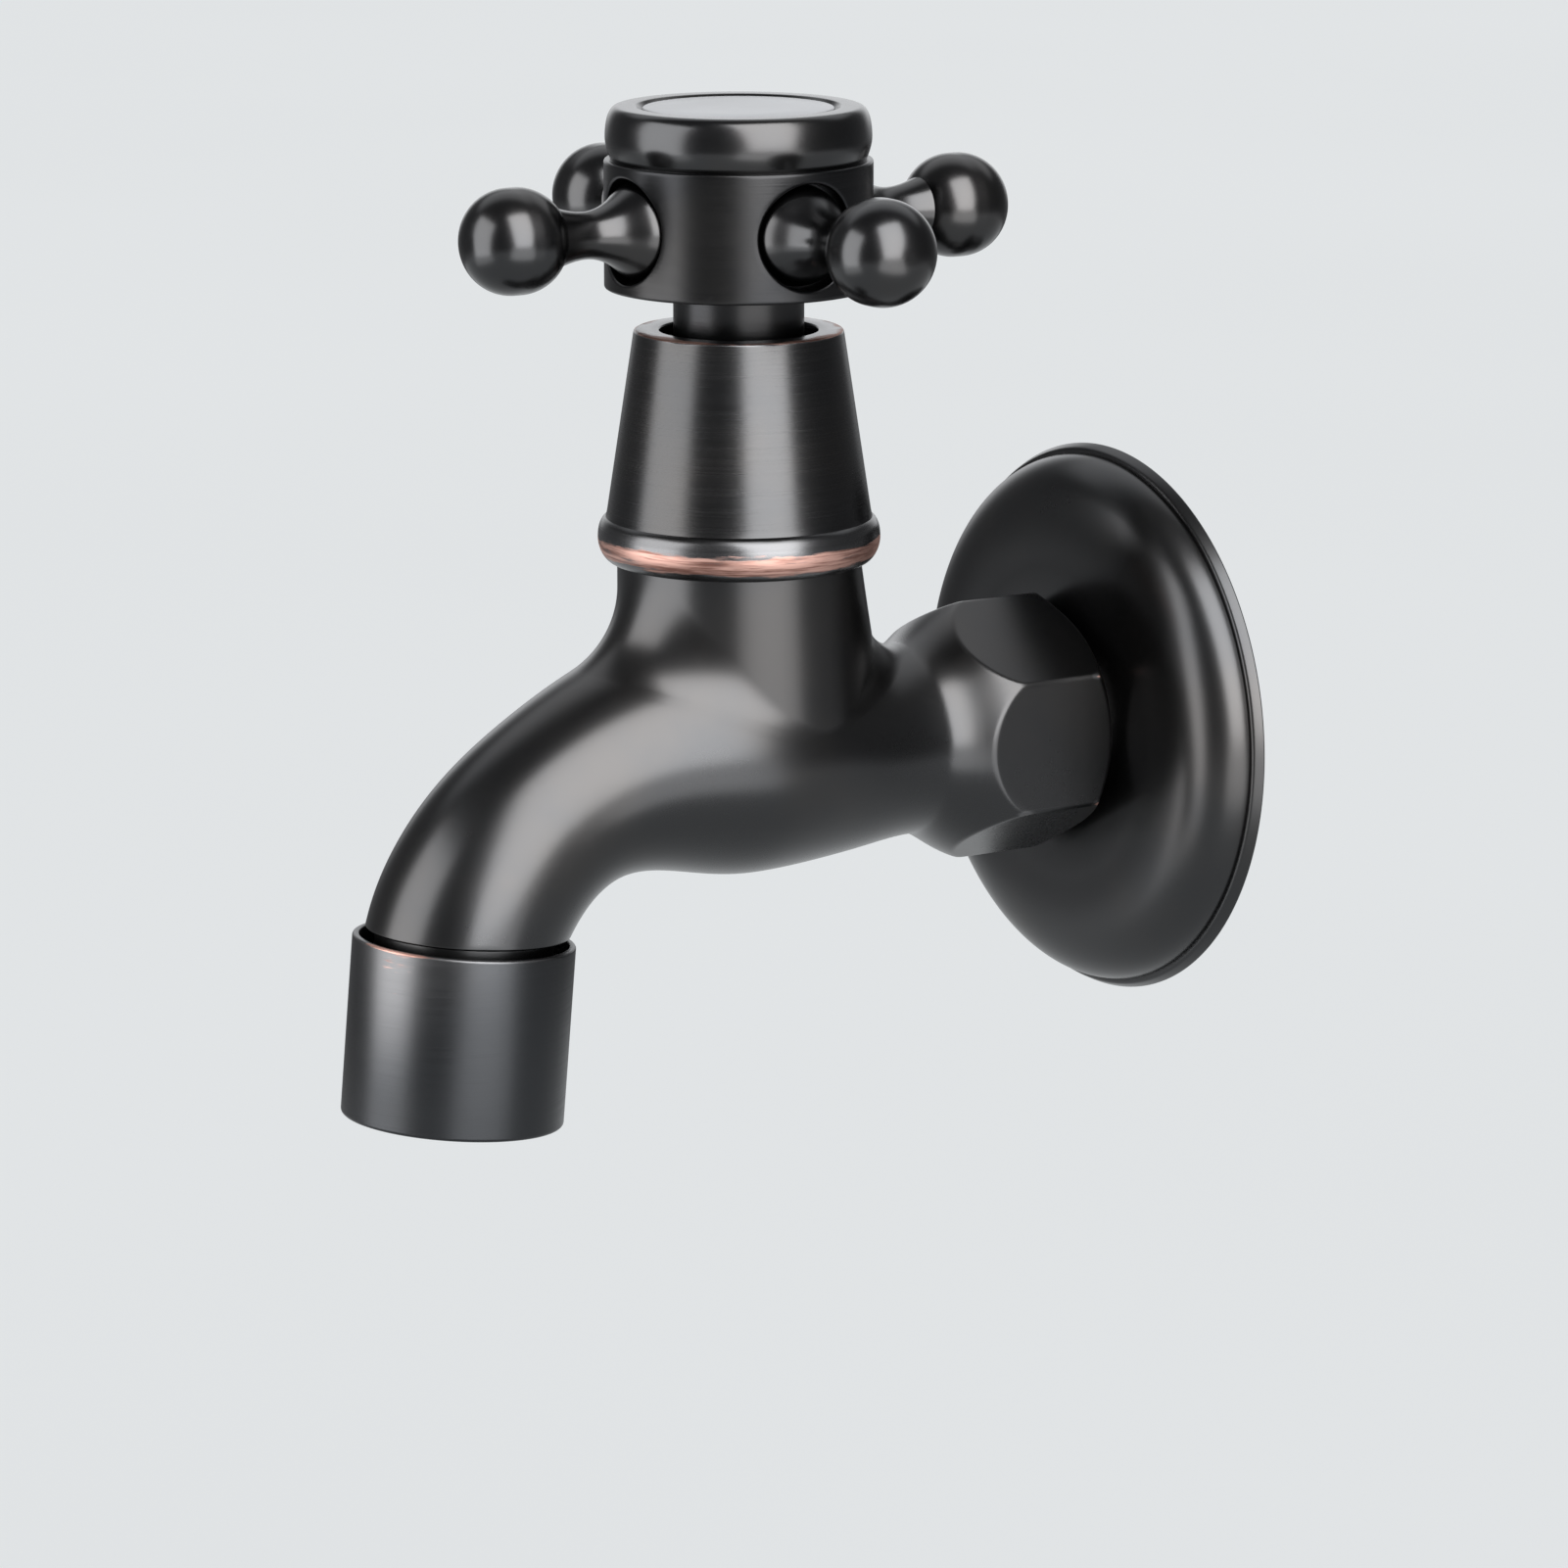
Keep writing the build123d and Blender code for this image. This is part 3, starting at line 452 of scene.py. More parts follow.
def barrelPatch(angle, side):
    # Lower half of the barrel, between the two sides of the neck's patch, and the boundary of that patch on
    # the skin: front edge, right side, rear edge, left side.
    tiny, full = solving["tiny"], 2 * np.pi
    rear = np.linspace(patchStart, 0, rowCounts["barrelRear"])
    rowsAlong = np.concatenate([rear, np.linspace(0, patchEnd, rowCounts["barrel"])[1:]])
    lower = angle[(angle >= side - tiny) & (angle <= full - side + tiny)]
    grid = skin(*np.meshgrid(rowsAlong, lower, indexing="ij"))[0]
    upper = np.concatenate([angle[angle >= full - side - tiny] - full, angle[angle <= side + tiny]])
    down, back = rowsAlong[::-1][1:-1], rowsAlong[1:-1]
    edgeAlong = np.concatenate([0 * upper + patchEnd, down, 0 * upper + patchStart, back])
    edgeAngle = np.concatenate([upper, 0 * down + side, upper[::-1], 0 * back - side])
    return grid * mirrored, edgeAlong, edgeAngle


def makeTapBody():
    angle = skinColumns()
    hexRows, spout = hexagonRows(angle), spoutRows(angle)
    barrel, edgeAlong, edgeAngle = barrelPatch(angle, math.radians(castBody["patchSide"]))
    patches = [patch(hexRows, True), patch(barrel, False), patch(spout, True)]
    bearing = np.arctan2(edgeAngle * castBody["barrelRadius"], edgeAlong - (handleAxis - waistReach))
    bearing = np.unwrap(bearing)
    along, around, normal, ball = ballContact(bearing)

    # The skirt is arcs of the ball, t = 0 at the neck's side and t = 1 on the thin skin:
    # point = ball + radius (sin((1 - t) spread) inward - sin(t spread) normal) / sin(spread).
    radius = neckBlend(bearing)[0]
    inward = np.stack([-np.sin(bearing), -np.cos(bearing), 0 * bearing], -1)
    spread = np.arccos(np.clip((inward * -normal).sum(1), -1, 1))

    def onArc(t):
        way = np.sin((1 - t) * spread)[..., None] * inward - np.sin(t * spread)[..., None] * normal
        return ball + radius[:, None] * way / np.sin(spread)[:, None]

    # each arc starts where a straight line from the neck's top touches it
    size, neckTop = picked(castBody, "neckRadius", "neckTop")

    def roundNeck(r, height):
        return np.stack([r * np.sin(bearing), handleAxis + r * np.cos(bearing), height + 0 * bearing], -1)

    def aboveTouch(t):
        point, ahead = onArc(t), onArc(t + solving["small"])
        out = np.hypot(point[:, 0], point[:, 1] - handleAxis)
        step = np.hypot(ahead[:, 0], ahead[:, 1] - handleAxis) - out
        return step * (point[:, 2] - neckTop) > (ahead[:, 2] - point[:, 2]) * (out - size)

    top = roundNeck(size, neckTop)
    first = bisected(0 * radius, solving["lastTouch"] + 0 * radius, aboveTouch)[0]

    # at the rear the arcs meet the shoulder before they reach the thin skin, and end there in a soft valley
    def outside(t):
        x, reach, height = onArc(t).T
        return (np.hypot(x, height) >= shoulderAt(reach)[0]) | (reach >= waistReach)

    last = bisected(first, 1 + 0 * first, outside)[1]
    valley = onArc(last)
    met = 1 - last > solving["least"]
    along = np.where(met, valley[:, 1] - waistReach, along)
    around = np.where(met, np.arctan2(valley[:, 0], valley[:, 2]), around)

    def onPatch(share):
        return skin(along + (edgeAlong - along) * share, around + (edgeAngle - around) * share)[0]

    softening = castBody["creaseRound"]
    valley = onPatch(0 * along)
    before = last - softening / (radius * spread)
    after = softening / np.linalg.norm(onPatch(1 + 0 * along) - valley, axis=1)
    t = np.linspace(0, 1, rowCounts["skirt"])[:, None]
    skirt = onArc(first + (before - first) * t)
    soft = np.linspace(0, 1, rowCounts["crease"])[1:-1, None, None]
    soft = skirt[-1] * (1 - soft) ** 2 + 2 * soft * (1 - soft) * valley + soft ** 2 * onPatch(after)
    ring = onPatch(after + (1 - after) * np.linspace(0, 1, rowCounts["patchRing"])[:, None] ** ringPower)
    patches.append(patch(np.concatenate([skirt, soft, ring]) * mirrored, True))
    t = np.linspace(0, 1, rowCounts["neck"])[:, None, None]
    patches.append(patch(((1 - t) * top + t * skirt[0]) * mirrored, True))
    seat = [top] + [roundNeck(r, height) for r, height in castBody["neckSeat"]]
    patches.append(patch(np.array(seat) * mirrored, True))
    patches += inletPatches(angle, hexRows[0]) + [nozzlePatch(angle, spout[-1])]
    return makePiece("tapBodySkin", patches, "body", ["tap_body"], wear=bodyWear)


def inletPatches(angle, backRing):
    # Back of the hexagon and shank, thread, end face and bore of the inlet.
    shank, (bore, boreReach) = picked(castBody, "shankRadius", "inletBore")
    endReach, chamfer = -castBody["threadReach"], castBody["boreChamfer"]
    inward = np.linspace(-castBody["threadStart"], -endReach, rowCounts["thread"])[:, None]
    thread = aboutInlet(threaded(castBody, shank, inward, angle), -inward, angle)

    def ring(r, reach):
        return aboutInlet(r, reach, angle)

    behind = np.array([backRing, ring(shank, castBody["hexagonBack"][0]), thread[0]])
    inside = np.array([thread[-1], ring(bore + chamfer, endReach), ring(bore, endReach + chamfer),
                       ring(bore, boreReach), ring(0.0, boreReach)])
    return [patch(rows, True) for rows in (behind, thread, inside)]


def nozzlePatch(angle, faceRing):
    # Spout's face, relief, nozzle thread and mouth, about the nozzle's own axis.
    up = np.cos(angle)
    around = np.stack([np.sin(angle), -up * math.cos(nozzleLean), up * math.sin(nozzleLean)], -1)

    def ring(r, depth):
        return nozzleOrigin + r * around + depth * nozzleDown

    relief, rim, length = picked(nozzle, "reliefRadius", "rimDepth", "threadLength")
    (mouth, mouthDepth), bore, boreEnd = picked(nozzle, "mouth", "boreRadius", "boreEnd")
    depths = np.linspace(rim, length, rowCounts["nozzleThread"])[:, None]
    teeth = threaded(nozzle, relief, depths, angle)
    rows = [faceRing, ring(relief, -nozzle["gap"]), ring(relief, rim)]
    rows += list(ring(teeth[..., None], depths[..., None]))
    rows += [ring(mouth, length), ring(mouth, length - mouthDepth), ring(bore, length - mouthDepth)]
    rows += [ring(bore, boreEnd), ring(0.0, boreEnd)]
    return patch(np.array(rows), True)


def bodyWear(points):
    # Copper shows at the corners' back ends, and below also where they run out into the shoulder.
    x, reach, height = points[:, 0], -points[:, 1], points[:, 2]
    off = np.abs((np.degrees(np.arctan2(x, height)) + 30) % 60 - 30)

    def spot(spread, middle, length, strength):
        return strength * hump(off, 0, spread) * hump(reach, middle, length)

    worn = spot(*castBody["wornBehind"]) + spot(*castBody["wornAhead"]) * (height < 0)
    return worn * (np.hypot(x, height) > castBody["wornFrom"])


# Turned pieces

flangePlate = {
    "radius": 30.0, "foot": 28.85, "lip": (29.4, 1.25), "lipRound": 0.5, "crown": (17.0, 6.5), "wall": 1.2,
    "rimRound": 0.15, "boreRadius": 10.75, "boreRound": 0.3, "hang": 0.5,
    "dome": [(4.75, 0.45, 15.0), (2.35, 1.5, 38.0), (0.65, 3.2, 65.0)],  # in from the foot, fall, degrees
}


def flangeDome(inset):
    # The dome falls ever more steeply from the crown to its foot on the lip; its inner side lies inset.
    foot, (crown, depth) = picked(flangePlate, "foot", "crown")
    points = [(crown, depth - inset)]
    for stepIn, fall, slope in flangePlate["dome"]:
        lean = math.radians(slope)
        points.append((foot - stepIn - inset * math.sin(lean), depth - fall - inset * math.cos(lean)))
    return bend(points + [(foot - inset, flangePlate["lip"][1])], (1, 0), (0, -1), 18)


def makeWallFlange():
    wall, bore, radius, foot = picked(flangePlate, "wall", "boreRadius", "radius", "foot")
    (crown, depth), (lipRadius, lipDepth) = picked(flangePlate, "crown", "lip")
    lip = softened([
        (foot, lipDepth), (lipRadius, lipDepth, flangePlate["lipRound"]),
        (radius, 0.0, flangePlate["rimRound"]), (foot - wall, 0.0), (foot - wall, lipDepth),
    ])
    edge = (bore, depth, flangePlate["boreRound"])
    face = softened([(crown, depth - wall), (bore, depth - wall), edge, (crown, depth)], 4)
    outline = joined(face, flangeDome(0), lip, flangeDome(wall)[::-1])
    return makeTurned("wallFlangePlate", outline, 300, "flange", "wall_flange", "bronzed_flange",
                      origin=(0, 0, -flangePlate["hang"]), axis=(0, -1, 0))


bonnet = {
    "foot": (13.3, 21.5), "widest": (14.82, 24.0), "cove": (13.98, 26.2), "coneFoot": (13.8, 27.0),
    "coneTop": (10.95, 45.9), "opening": 8.3, "openingRound": 0.2, "lip": 1.6, "wall": 1.7,
    "threadBore": 12.03, "threadHeight": 5.3, "edgeRound": 0.35,
    # heights between which the wear fades out and in, and its strength
    "wornCopper": (25.3, 1.4, 21.7, 0.9, 0.68), "wornBead": (26.1, 0.5, 0.22), "beadFrom": 13.2,
    "wornRim": (45.85, 0.16, 0.62), "rimFrom": 10.4,
}


def makeBonnetCover():
    foot, widest, cove, coneFoot = picked(bonnet, "foot", "widest", "cove", "coneFoot")
    coneTop, opening, bore = picked(bonnet, "coneTop", "opening", "threadBore")
    lean = (coneTop[0] - coneFoot[0], coneTop[1] - coneFoot[1])
    top = coneTop[1]
    inner = [
        (opening, top, bonnet["openingRound"]), (opening, top - bonnet["lip"]),
        (coneTop[0] - bonnet["wall"], top - bonnet["lip"]), (bore, foot[1] + bonnet["threadHeight"]),
        (bore, foot[1]), foot,
    ]
    outline = joined(
        bend([foot, widest], (1, 0.25), (0, 1), 18), bend([widest, cove], (0, 1), (-1, 0.5), 14),
        bend([cove, coneFoot], (-0.3, 1), lean, 8),
        softened([coneFoot, coneTop + (bonnet["edgeRound"],)] + inner),
    )

    def wear(points):
        # The bead is rubbed bright, down to the copper on its lower part, and the top's edge faintly.
        radius, height = np.hypot(points[:, 0], points[:, 1] + handleAxis), points[:, 2]
        high, fade, low, rise, strength = bonnet["wornCopper"]
        copper = np.clip((high - height) / fade, 0, 1) * np.clip((height - low) / rise, 0.2, 1) * strength
        high, fade, strength = bonnet["wornBead"]
        bead = np.maximum(copper, strength * np.clip((high - height) / fade, 0, 1))
        middle, spread, strength = bonnet["wornRim"]
        rim = strength * hump(height, middle, spread)
        return np.maximum(bead * (radius > bonnet["beadFrom"]), rim * (radius > bonnet["rimFrom"]))

    return makeTurned("bonnetCoverSleeve", outline[:-1], 240, "body", "bonnet_cover", "brushed_bronze", wear)


collar = {
    "radius": 11.6, "length": 19.0, "rimBore": 10.9, "rimDepth": 3.2, "rimRound": 0.15, "bore": 9.93,
    "lipRadius": 8.7, "lipThickness": 1.3, "lipRound": 0.2, "edgeRound": 0.3, "footRound": 0.4,
    "wornRim": (0.1, 0.2), "wornFrom": 11.25,  # depth and spread
    "wornFront": (22, 24, 0.6, 0.25),  # bearing and spread in degrees, strength there and all round
}


def makeNozzleCollar():
    outer, length, bore, rimBore = picked(collar, "radius", "length", "bore", "rimBore")
    ledge, lip, depth = length - collar["lipThickness"], collar["lipRadius"], collar["rimDepth"]
    outline = softened([
        (bore, depth), (rimBore, depth), (rimBore, 0.0, collar["rimRound"]),
        (outer, 0.0, collar["edgeRound"]), (outer, length, collar["footRound"]),
        (lip, length, collar["lipRound"]), (lip, ledge), (bore, ledge),
    ])

    def wear(points):
        # Copper shows along the edge of the rim at the spout's end, most of all at the front.
        local = points - nozzleOrigin
        depth = local @ nozzleDown
        radius = np.linalg.norm(local - depth[:, None] * nozzleDown, axis=1)
        middle, spread = collar["wornRim"]
        rim = hump(depth, middle, spread) * (radius > collar["wornFrom"])
        bearing = np.degrees(np.arctan2(local[:, 0], -local[:, 1]))
        front, width, strength, least = collar["wornFront"]
        return rim * (least + strength * hump(bearing, front, width))

    return makeTurned("nozzleCollarTube", outline, 240, "body", "nozzle_collar", "brushed_bronze", wear,
                      origin=nozzleOrigin, axis=nozzleDown)


arm = {
    "height": 57.0, "studEnd": 6.6, "studRadius": 2.5, "studRound": 0.3, "seat": 11.2,
    "root": [(5.3, 11.2), (4.95, 12.9), (3.55, 15.1)], "waist": (2.45, 18.6),
    "neckRadius": 3.2, "ballReach": 27.0, "ballRadius": 5.5, "ballCorner": 5.1,
    "directions": {"right": (1, 0, 0), "back": (0, 1, 0), "left": (-1, 0, 0), "front": (0, -1, 0)},
}


def makeArms():
    # The ball is an arc of a smaller radius on either side of a short straight flank.
    corner = arm["ballCorner"]
    flat = arm["ballRadius"] - corner
    back, front = arm["ballReach"] - flat, arm["ballReach"] + flat
    foot = back - math.sqrt(corner ** 2 - (arm["neckRadius"] - flat) ** 2)
    startAngle = math.degrees(math.atan2(foot - back, arm["neckRadius"] - flat))
    outline = joined(
        softened([(0, arm["studEnd"]), (arm["studRadius"], arm["studEnd"], arm["studRound"]),
                  (arm["studRadius"], arm["seat"]), arm["root"][0]]),
        bend(arm["root"] + [arm["waist"]], (-0.1, 1), (0, 1), 12),
        bend([arm["waist"], (arm["neckRadius"], foot)], (0, 1), (0.35, 1), 14),
        arcBetween((flat, back), corner, startAngle, 0, 24),
        arcBetween((flat, front), corner, 0, 90, 30),
        [(0, front + corner)],
    )
    return [
        makeTurned("handleArm" + name.capitalize(), outline, 128, "handle", "handle_arm_" + name,
                   "bronzed_handle", origin=(0, -handleAxis, arm["height"]), axis=direction, side=(0, 0, 1))
        for name, direction in arm["directions"].items()
    ]


hub = {
    "radius": 14.0, "bottom": 50.3, "top": 63.7, "edge": 0.3, "recessRadius": 5.5, "recessFloor": 11.2,
    "rimRound": 0.3, "bossRadius": 6.83, "bossBottom": 41.8, "bossRounds": (0.25, 0.3),
    "socket": (3.0, 2.0), "capSeat": (11.55, 1.0), "well": (4.2, 58.1),
    "sideSteps": 22, "wallSteps": 12,
}


def hubQuarter(turn):
    # One quarter of the drum's wall round one recess. Points run along rays from the recess's axis to the
    # quarter's border: out = sqrt(radius^2 - side^2), less the rounding at the recess's rim.
    steps, radius, recess, rim, floor = picked(
        hub, "sideSteps", "radius", "recessRadius", "rimRound", "recessFloor")
    low, high = hub["bottom"] + hub["edge"] - arm["height"], hub["top"] - hub["edge"] - arm["height"]
    across = radius * np.sin(np.radians(np.linspace(-45, 45, steps * 2 + 1)))
    level = np.linspace(low, high, steps + 1)
    ends, flats = 0 * level[:-1], 0 * across[:-1]
    side = np.concatenate([across[:-1], ends + across[-1], across[::-1][:-1], ends + across[0]])
    rise = np.concatenate([flats + low, level[:-1], flats + high, level[::-1][:-1]])
    length = np.hypot(side, rise)

    def ring(share, out):
        return np.stack([out + 0 * side, side * share, rise * share], -1)

    def drum(share):
        return np.sqrt(radius ** 2 - (side * share) ** 2)

    mouth = recess / length
    rows = [ring(0 * length, floor), ring(mouth, floor)]
    rows += [ring(mouth, floor + (drum(mouth) - rim - floor) * depth) for depth in (0.35, 0.7)]
    for lean in np.radians([0, 15, 30, 50, 70, 90]):
        share = (recess + rim * (1 - math.cos(lean))) / length
        rows.append(ring(share, drum(share) - rim * (1 - math.sin(lean))))
    start = (recess + rim) / length
    for step in np.linspace(0, 1, hub["wallSteps"])[1:]:
        share = start + (1 - start) * step
        rows.append(ring(share, drum(share)))
    x, y, z = np.moveaxis(np.array(rows), -1, 0)
    cos, sin = math.cos(turn), math.sin(turn)
    return np.stack([x * cos - y * sin, x * sin + y * cos - handleAxis, z + arm["height"]], -1)


def makeHandleHub():
    patches = [patch(hubQuarter(turn), True) for turn in np.arange(4) * np.pi / 2]
    radius, edge, low, high = picked(hub, "radius", "edge", "bottom", "top")
    boss, foot, (bossRound, footRound) = picked(hub, "bossRadius", "bossBottom", "bossRounds")
    (socket, socketDepth), (seat, depth), (well, floor) = picked(hub, "socket", "capSeat", "well")
    columns = np.radians(np.arange(0, 360, 90 / (2 * hub["sideSteps"])))
    bottom = joined(
        arcBetween((radius - edge, low + edge), edge, 0, -90, 4),
        softened([(radius - edge, low), (boss, low, bossRound), (boss, foot, footRound), (socket, foot),
                  (socket, foot + socketDepth), (0, foot + socketDepth)]),
    )
    top = joined(
        arcBetween((radius - edge, high - edge), edge, 0, 90, 4),
        [(seat, high), (seat, high - depth), (well, high - depth), (well, floor), (0, floor)],
    )
    patches += [turnedPatch(outline, columns) for outline in (bottom, top)]
    return makePiece("handleHubDrum", patches, "handle", ["handle_hub"])


cap = {
    "foot": (13.3, 63.7), "widest": (13.86, 66.0), "flat": (12.5, 69.2), "seat": 10.02, "bevel": 0.65,
    "bevelRound": 0.3, "ledge": 66.9, "opening": 8.0, "spigot": (11.5, 1.0),
    "discRadius": 9.98, "discTop": 69.05, "discRound": 0.25, "discFoot": 0.1, "discRings": (0.6, 0.3),
}


def makeCap():
    foot, widest, flat = picked(cap, "foot", "widest", "flat")
    seat, bevel, ledge, opening = picked(cap, "seat", "bevel", "ledge", "opening")
    spigot, low, top = cap["spigot"][0], foot[1] - cap["spigot"][1], flat[1]
    outline = joined(
        bend([foot, widest], (0.35, 1), (0, 1), 14), bend([widest, flat], (0, 1), (-1, 0), 26),
        softened([
            flat, (seat + bevel, top, cap["bevelRound"]), (seat, top - bevel), (seat, ledge),
            (opening, ledge), (opening, low), (spigot, low), (spigot, foot[1]), foot,
        ]),
    )
    return makeTurned("handleCapRing", outline[:-1], 240, "handle", "handle_cap", "bronzed_handle")


def makeIndexDisc():
    radius, top, ledge = picked(cap, "discRadius", "discTop", "ledge")
    outline = softened([(0, ledge), (radius, ledge, cap["discFoot"]), (radius, top, cap["discRound"])]
                       + [(radius * share, top) for share in cap["discRings"]] + [(0, top)])
    return makeTurned("indexDiscPlate", outline, 192, "handle", "index_disc", "index_face")


print("making the metal pieces")
tapBody = makeTapBody()
wallFlange = makeWallFlange()
bonnetCover = makeBonnetCover()
nozzleCollar = makeNozzleCollar()
handleArms = makeArms()
handleHub = makeHandleHub()
handleCap = makeCap()
indexDisc = makeIndexDisc()


# Finishes

class Value:
    # One output of a shader node. Arithmetic on it adds Math nodes.
    def __init__(self, finish, socket):
        self.finish, self.socket = finish, socket

    def math(self, operation, first, second):
        return self.finish.node("ShaderNodeMath", {"operation": operation}, {0: first, 1: second})

    def __add__(self, other):
        return self.math("ADD", self, other)

    def __sub__(self, other):
        return self.math("SUBTRACT", self, other)

    def __rsub__(self, other):
        return self.math("SUBTRACT", other, self)

    def __mul__(self, other):
        return self.math("MULTIPLY", self, other)

    def __truediv__(self, other):
        return self.math("DIVIDE", self, other)


class Finish:
    # A material: its nodes are added by one method and its surface is one Principled BSDF.
    def __init__(self, name):
        self.material = bpy.data.materials.new(name)
        self.material.use_nodes = True
        self.tree = self.material.node_tree
        self.tree.nodes.clear()
        self.output = self.tree.nodes.new("ShaderNodeOutputMaterial")
        self.place = self.node("ShaderNodeTexCoord", {}, {}, "Object")

    def node(self, kind, settings, values, result=0):
        # Settings are the node's own, and values go to its inputs: a Value is linked, anything else is set.
        made = self.tree.nodes.new(kind)
        for key, value in settings.items():
            setattr(made, key, value)
        for key, value in values.items():
            if isinstance(value, Value):
                self.tree.links.new(value.socket, made.inputs[key])
            else:
                made.inputs[key].default_value = value
        return Value(self, made.outputs[result])

    def noise(self, scale, detail=3.0, place=None, roughness=0.5):
        values = {"Vector": place or self.place, "Scale": scale, "Detail": detail, "Roughness": roughness}
        return self.node("ShaderNodeTexNoise", {}, values)

    def stretched(self, scale, turn=(0, 0, 0), shift=(0, 0, 0)):
        values = {"Vector": self.place, "Scale": scale, "Rotation": turn, "Location": shift}
        return self.node("ShaderNodeMapping", {}, values)

    def ramp(self, value, low, high):
        # Smooth step from 0 at low to 1 at high.
        values = {"Value": value, "From Min": low, "From Max": high, "To Min": 0.0, "To Max": 1.0}
        return self.node("ShaderNodeMapRange", {"interpolation_type": "SMOOTHSTEP"}, values)

    def mix(self, share, first, second):
        return self.node("ShaderNodeMix", {"data_type": "RGBA"}, {0: share, 6: first, 7: second}, 2)

    def bump(self, height, distance, strength=1.0, under=None):
        values = {"Height": height, "Distance": distance, "Strength": strength}
        if under is not None:
            values["Normal"] = under
        return self.node("ShaderNodeBump", {}, values)

    def surface(self, **values):
        named = {key.replace("_", " "): value for key, value in values.items()}
        shader = self.node("ShaderNodeBsdfPrincipled", {}, named)
        self.tree.links.new(shader.socket, self.output.inputs["Surface"])
        return self.material


bronzeLook = {
    # pairs of tones that clouds or streaks mix
    "body": [(0.046, 0.0465, 0.048, 1), (0.052, 0.0505, 0.050, 1)],
    "hub": [(0.024, 0.0245, 0.026, 1), (0.030, 0.0295, 0.0295, 1)],
    # the index disc's pale pair is a painted reflection: its dark metal gets a pale colour in place of the
    # bright sky that its top face mirrors when seen at a low angle
    "index": [(0.36, 0.365, 0.375, 1), (0.33, 0.333, 0.34, 1)],
    "collar": [(0.036, 0.0375, 0.040, 1), (0.041, 0.041, 0.042, 1)],
    "copper": [(0.16, 0.078, 0.062, 1), (0.46, 0.28, 0.235, 1)],
    "rubbed": (0.105, 0.105, 0.108, 1), "copperRoughness": 0.46,
    "castDepth": 0.5e-6, "lineDepth": 22e-6, "lineStrength": 0.35, "lines": (60, 60, 5200),
    "ragged": (170, 170, 1500), "streaky": (130, 130, 2300), "streakyShift": (0.3, 0.1, 0.7),
}


def oilRubbed(name, roughness, tones="body", brushed=False, worn=False, turn=(0, 0, 0)):
    # Dark bronze: cloudy tone, uneven satin and a faint cast ripple. Turned faces may have brushed lines, and
    # worn edges first rubbed metal and then streaky copper.
    finish = Finish(name)
    cloud, fine = finish.noise(55.0, 4.0), finish.noise(900.0, 2.0)
    color = finish.mix(finish.ramp(cloud, 0.42, 0.72), *bronzeLook[tones])
    rough = (cloud - 0.5) * 0.06 + (fine - 0.5) * 0.02 + roughness
    normal = finish.bump(finish.noise(420.0, 2.0), bronzeLook["castDepth"])
    if brushed:
        streaks = finish.noise(1.0, 3.0, finish.stretched(bronzeLook["lines"], turn), 0.65)
        rough = rough + (streaks - 0.5) * 0.12
        normal = finish.bump(streaks, bronzeLook["lineDepth"], bronzeLook["lineStrength"], normal)
    if worn:
        wear = finish.node("ShaderNodeAttribute", {"attribute_name": "wear"}, {}, "Fac")
        ragged = finish.noise(1.0, 4.0, finish.stretched(bronzeLook["ragged"]), 0.6)
        color = finish.mix(finish.ramp(wear, 0.05, 0.30), color, bronzeLook["rubbed"])
        mask = finish.ramp(wear + (ragged - 0.5) * 1.1, 0.42, 0.60)
        streaky = finish.stretched(bronzeLook["streaky"], (0, 0, 0), bronzeLook["streakyShift"])
        streaky = finish.ramp(finish.noise(1.0, 4.0, streaky, 0.6), 0.34, 0.60)
        color = finish.mix(mask, color, finish.mix(streaky, *bronzeLook["copper"]))
        rough = rough * (1 - mask) + mask * bronzeLook["copperRoughness"]
    return finish.surface(Base_Color=color, Metallic=1.0, Roughness=rough, Normal=normal)


def shaded(finish, share, color, darker):
    return finish.mix(share, color + (1,), tuple(part * darker for part in color) + (1,))


def plainMetal(name, color, roughness, scale):
    # Bare metal with turned lines across Z.
    finish = Finish(name)
    turning = finish.noise(1.0, 2.0, finish.stretched((80, 80, scale)))
    tone = shaded(finish, finish.ramp(finish.noise(90.0), 0.35, 0.7), color, 0.82)
    return finish.surface(Base_Color=tone, Metallic=1.0, Roughness=(turning - 0.5) * 0.2 + roughness,
                          Normal=finish.bump(turning, 8e-6, 0.5))


def plainSolid(name, color, roughness, grain, depth):
    # Ceramic, rubber or plastic with a fine grain.
    finish = Finish(name)
    speckle = finish.noise(grain, 4.0)
    tone = shaded(finish, finish.ramp(speckle, 0.3, 0.75), color, 0.86)
    return finish.surface(Base_Color=tone, Metallic=0.0, Roughness=(speckle - 0.5) * 0.15 + roughness,
                          Normal=finish.bump(speckle, depth, 0.6))


print("making the finishes")
polished = oilRubbed("polishedBronze", 0.24)
collarTurn = (nozzleLean, 0, 0)
pieceFinishes = [
    (tapBody, oilRubbed("castBronze", 0.28, worn=True)),
    (wallFlange, oilRubbed("spunBronze", 0.29)),
    (bonnetCover, oilRubbed("brushedCover", 0.26, brushed=True, worn=True)),
    (nozzleCollar, oilRubbed("brushedCollar", 0.36, "collar", True, True, collarTurn)),
    (handleHub, oilRubbed("brushedHub", 0.30, "hub", True)),
    # the index disc's pale colour is a painted reflection of the sky on its top face
    (indexDisc, oilRubbed("indexPaintedSheen", 0.34, "index")),
]
for piece, material in pieceFinishes + [(piece, polished) for piece in [handleCap] + handleArms]:
    piece.data.materials.clear()
    piece.data.materials.append(material)

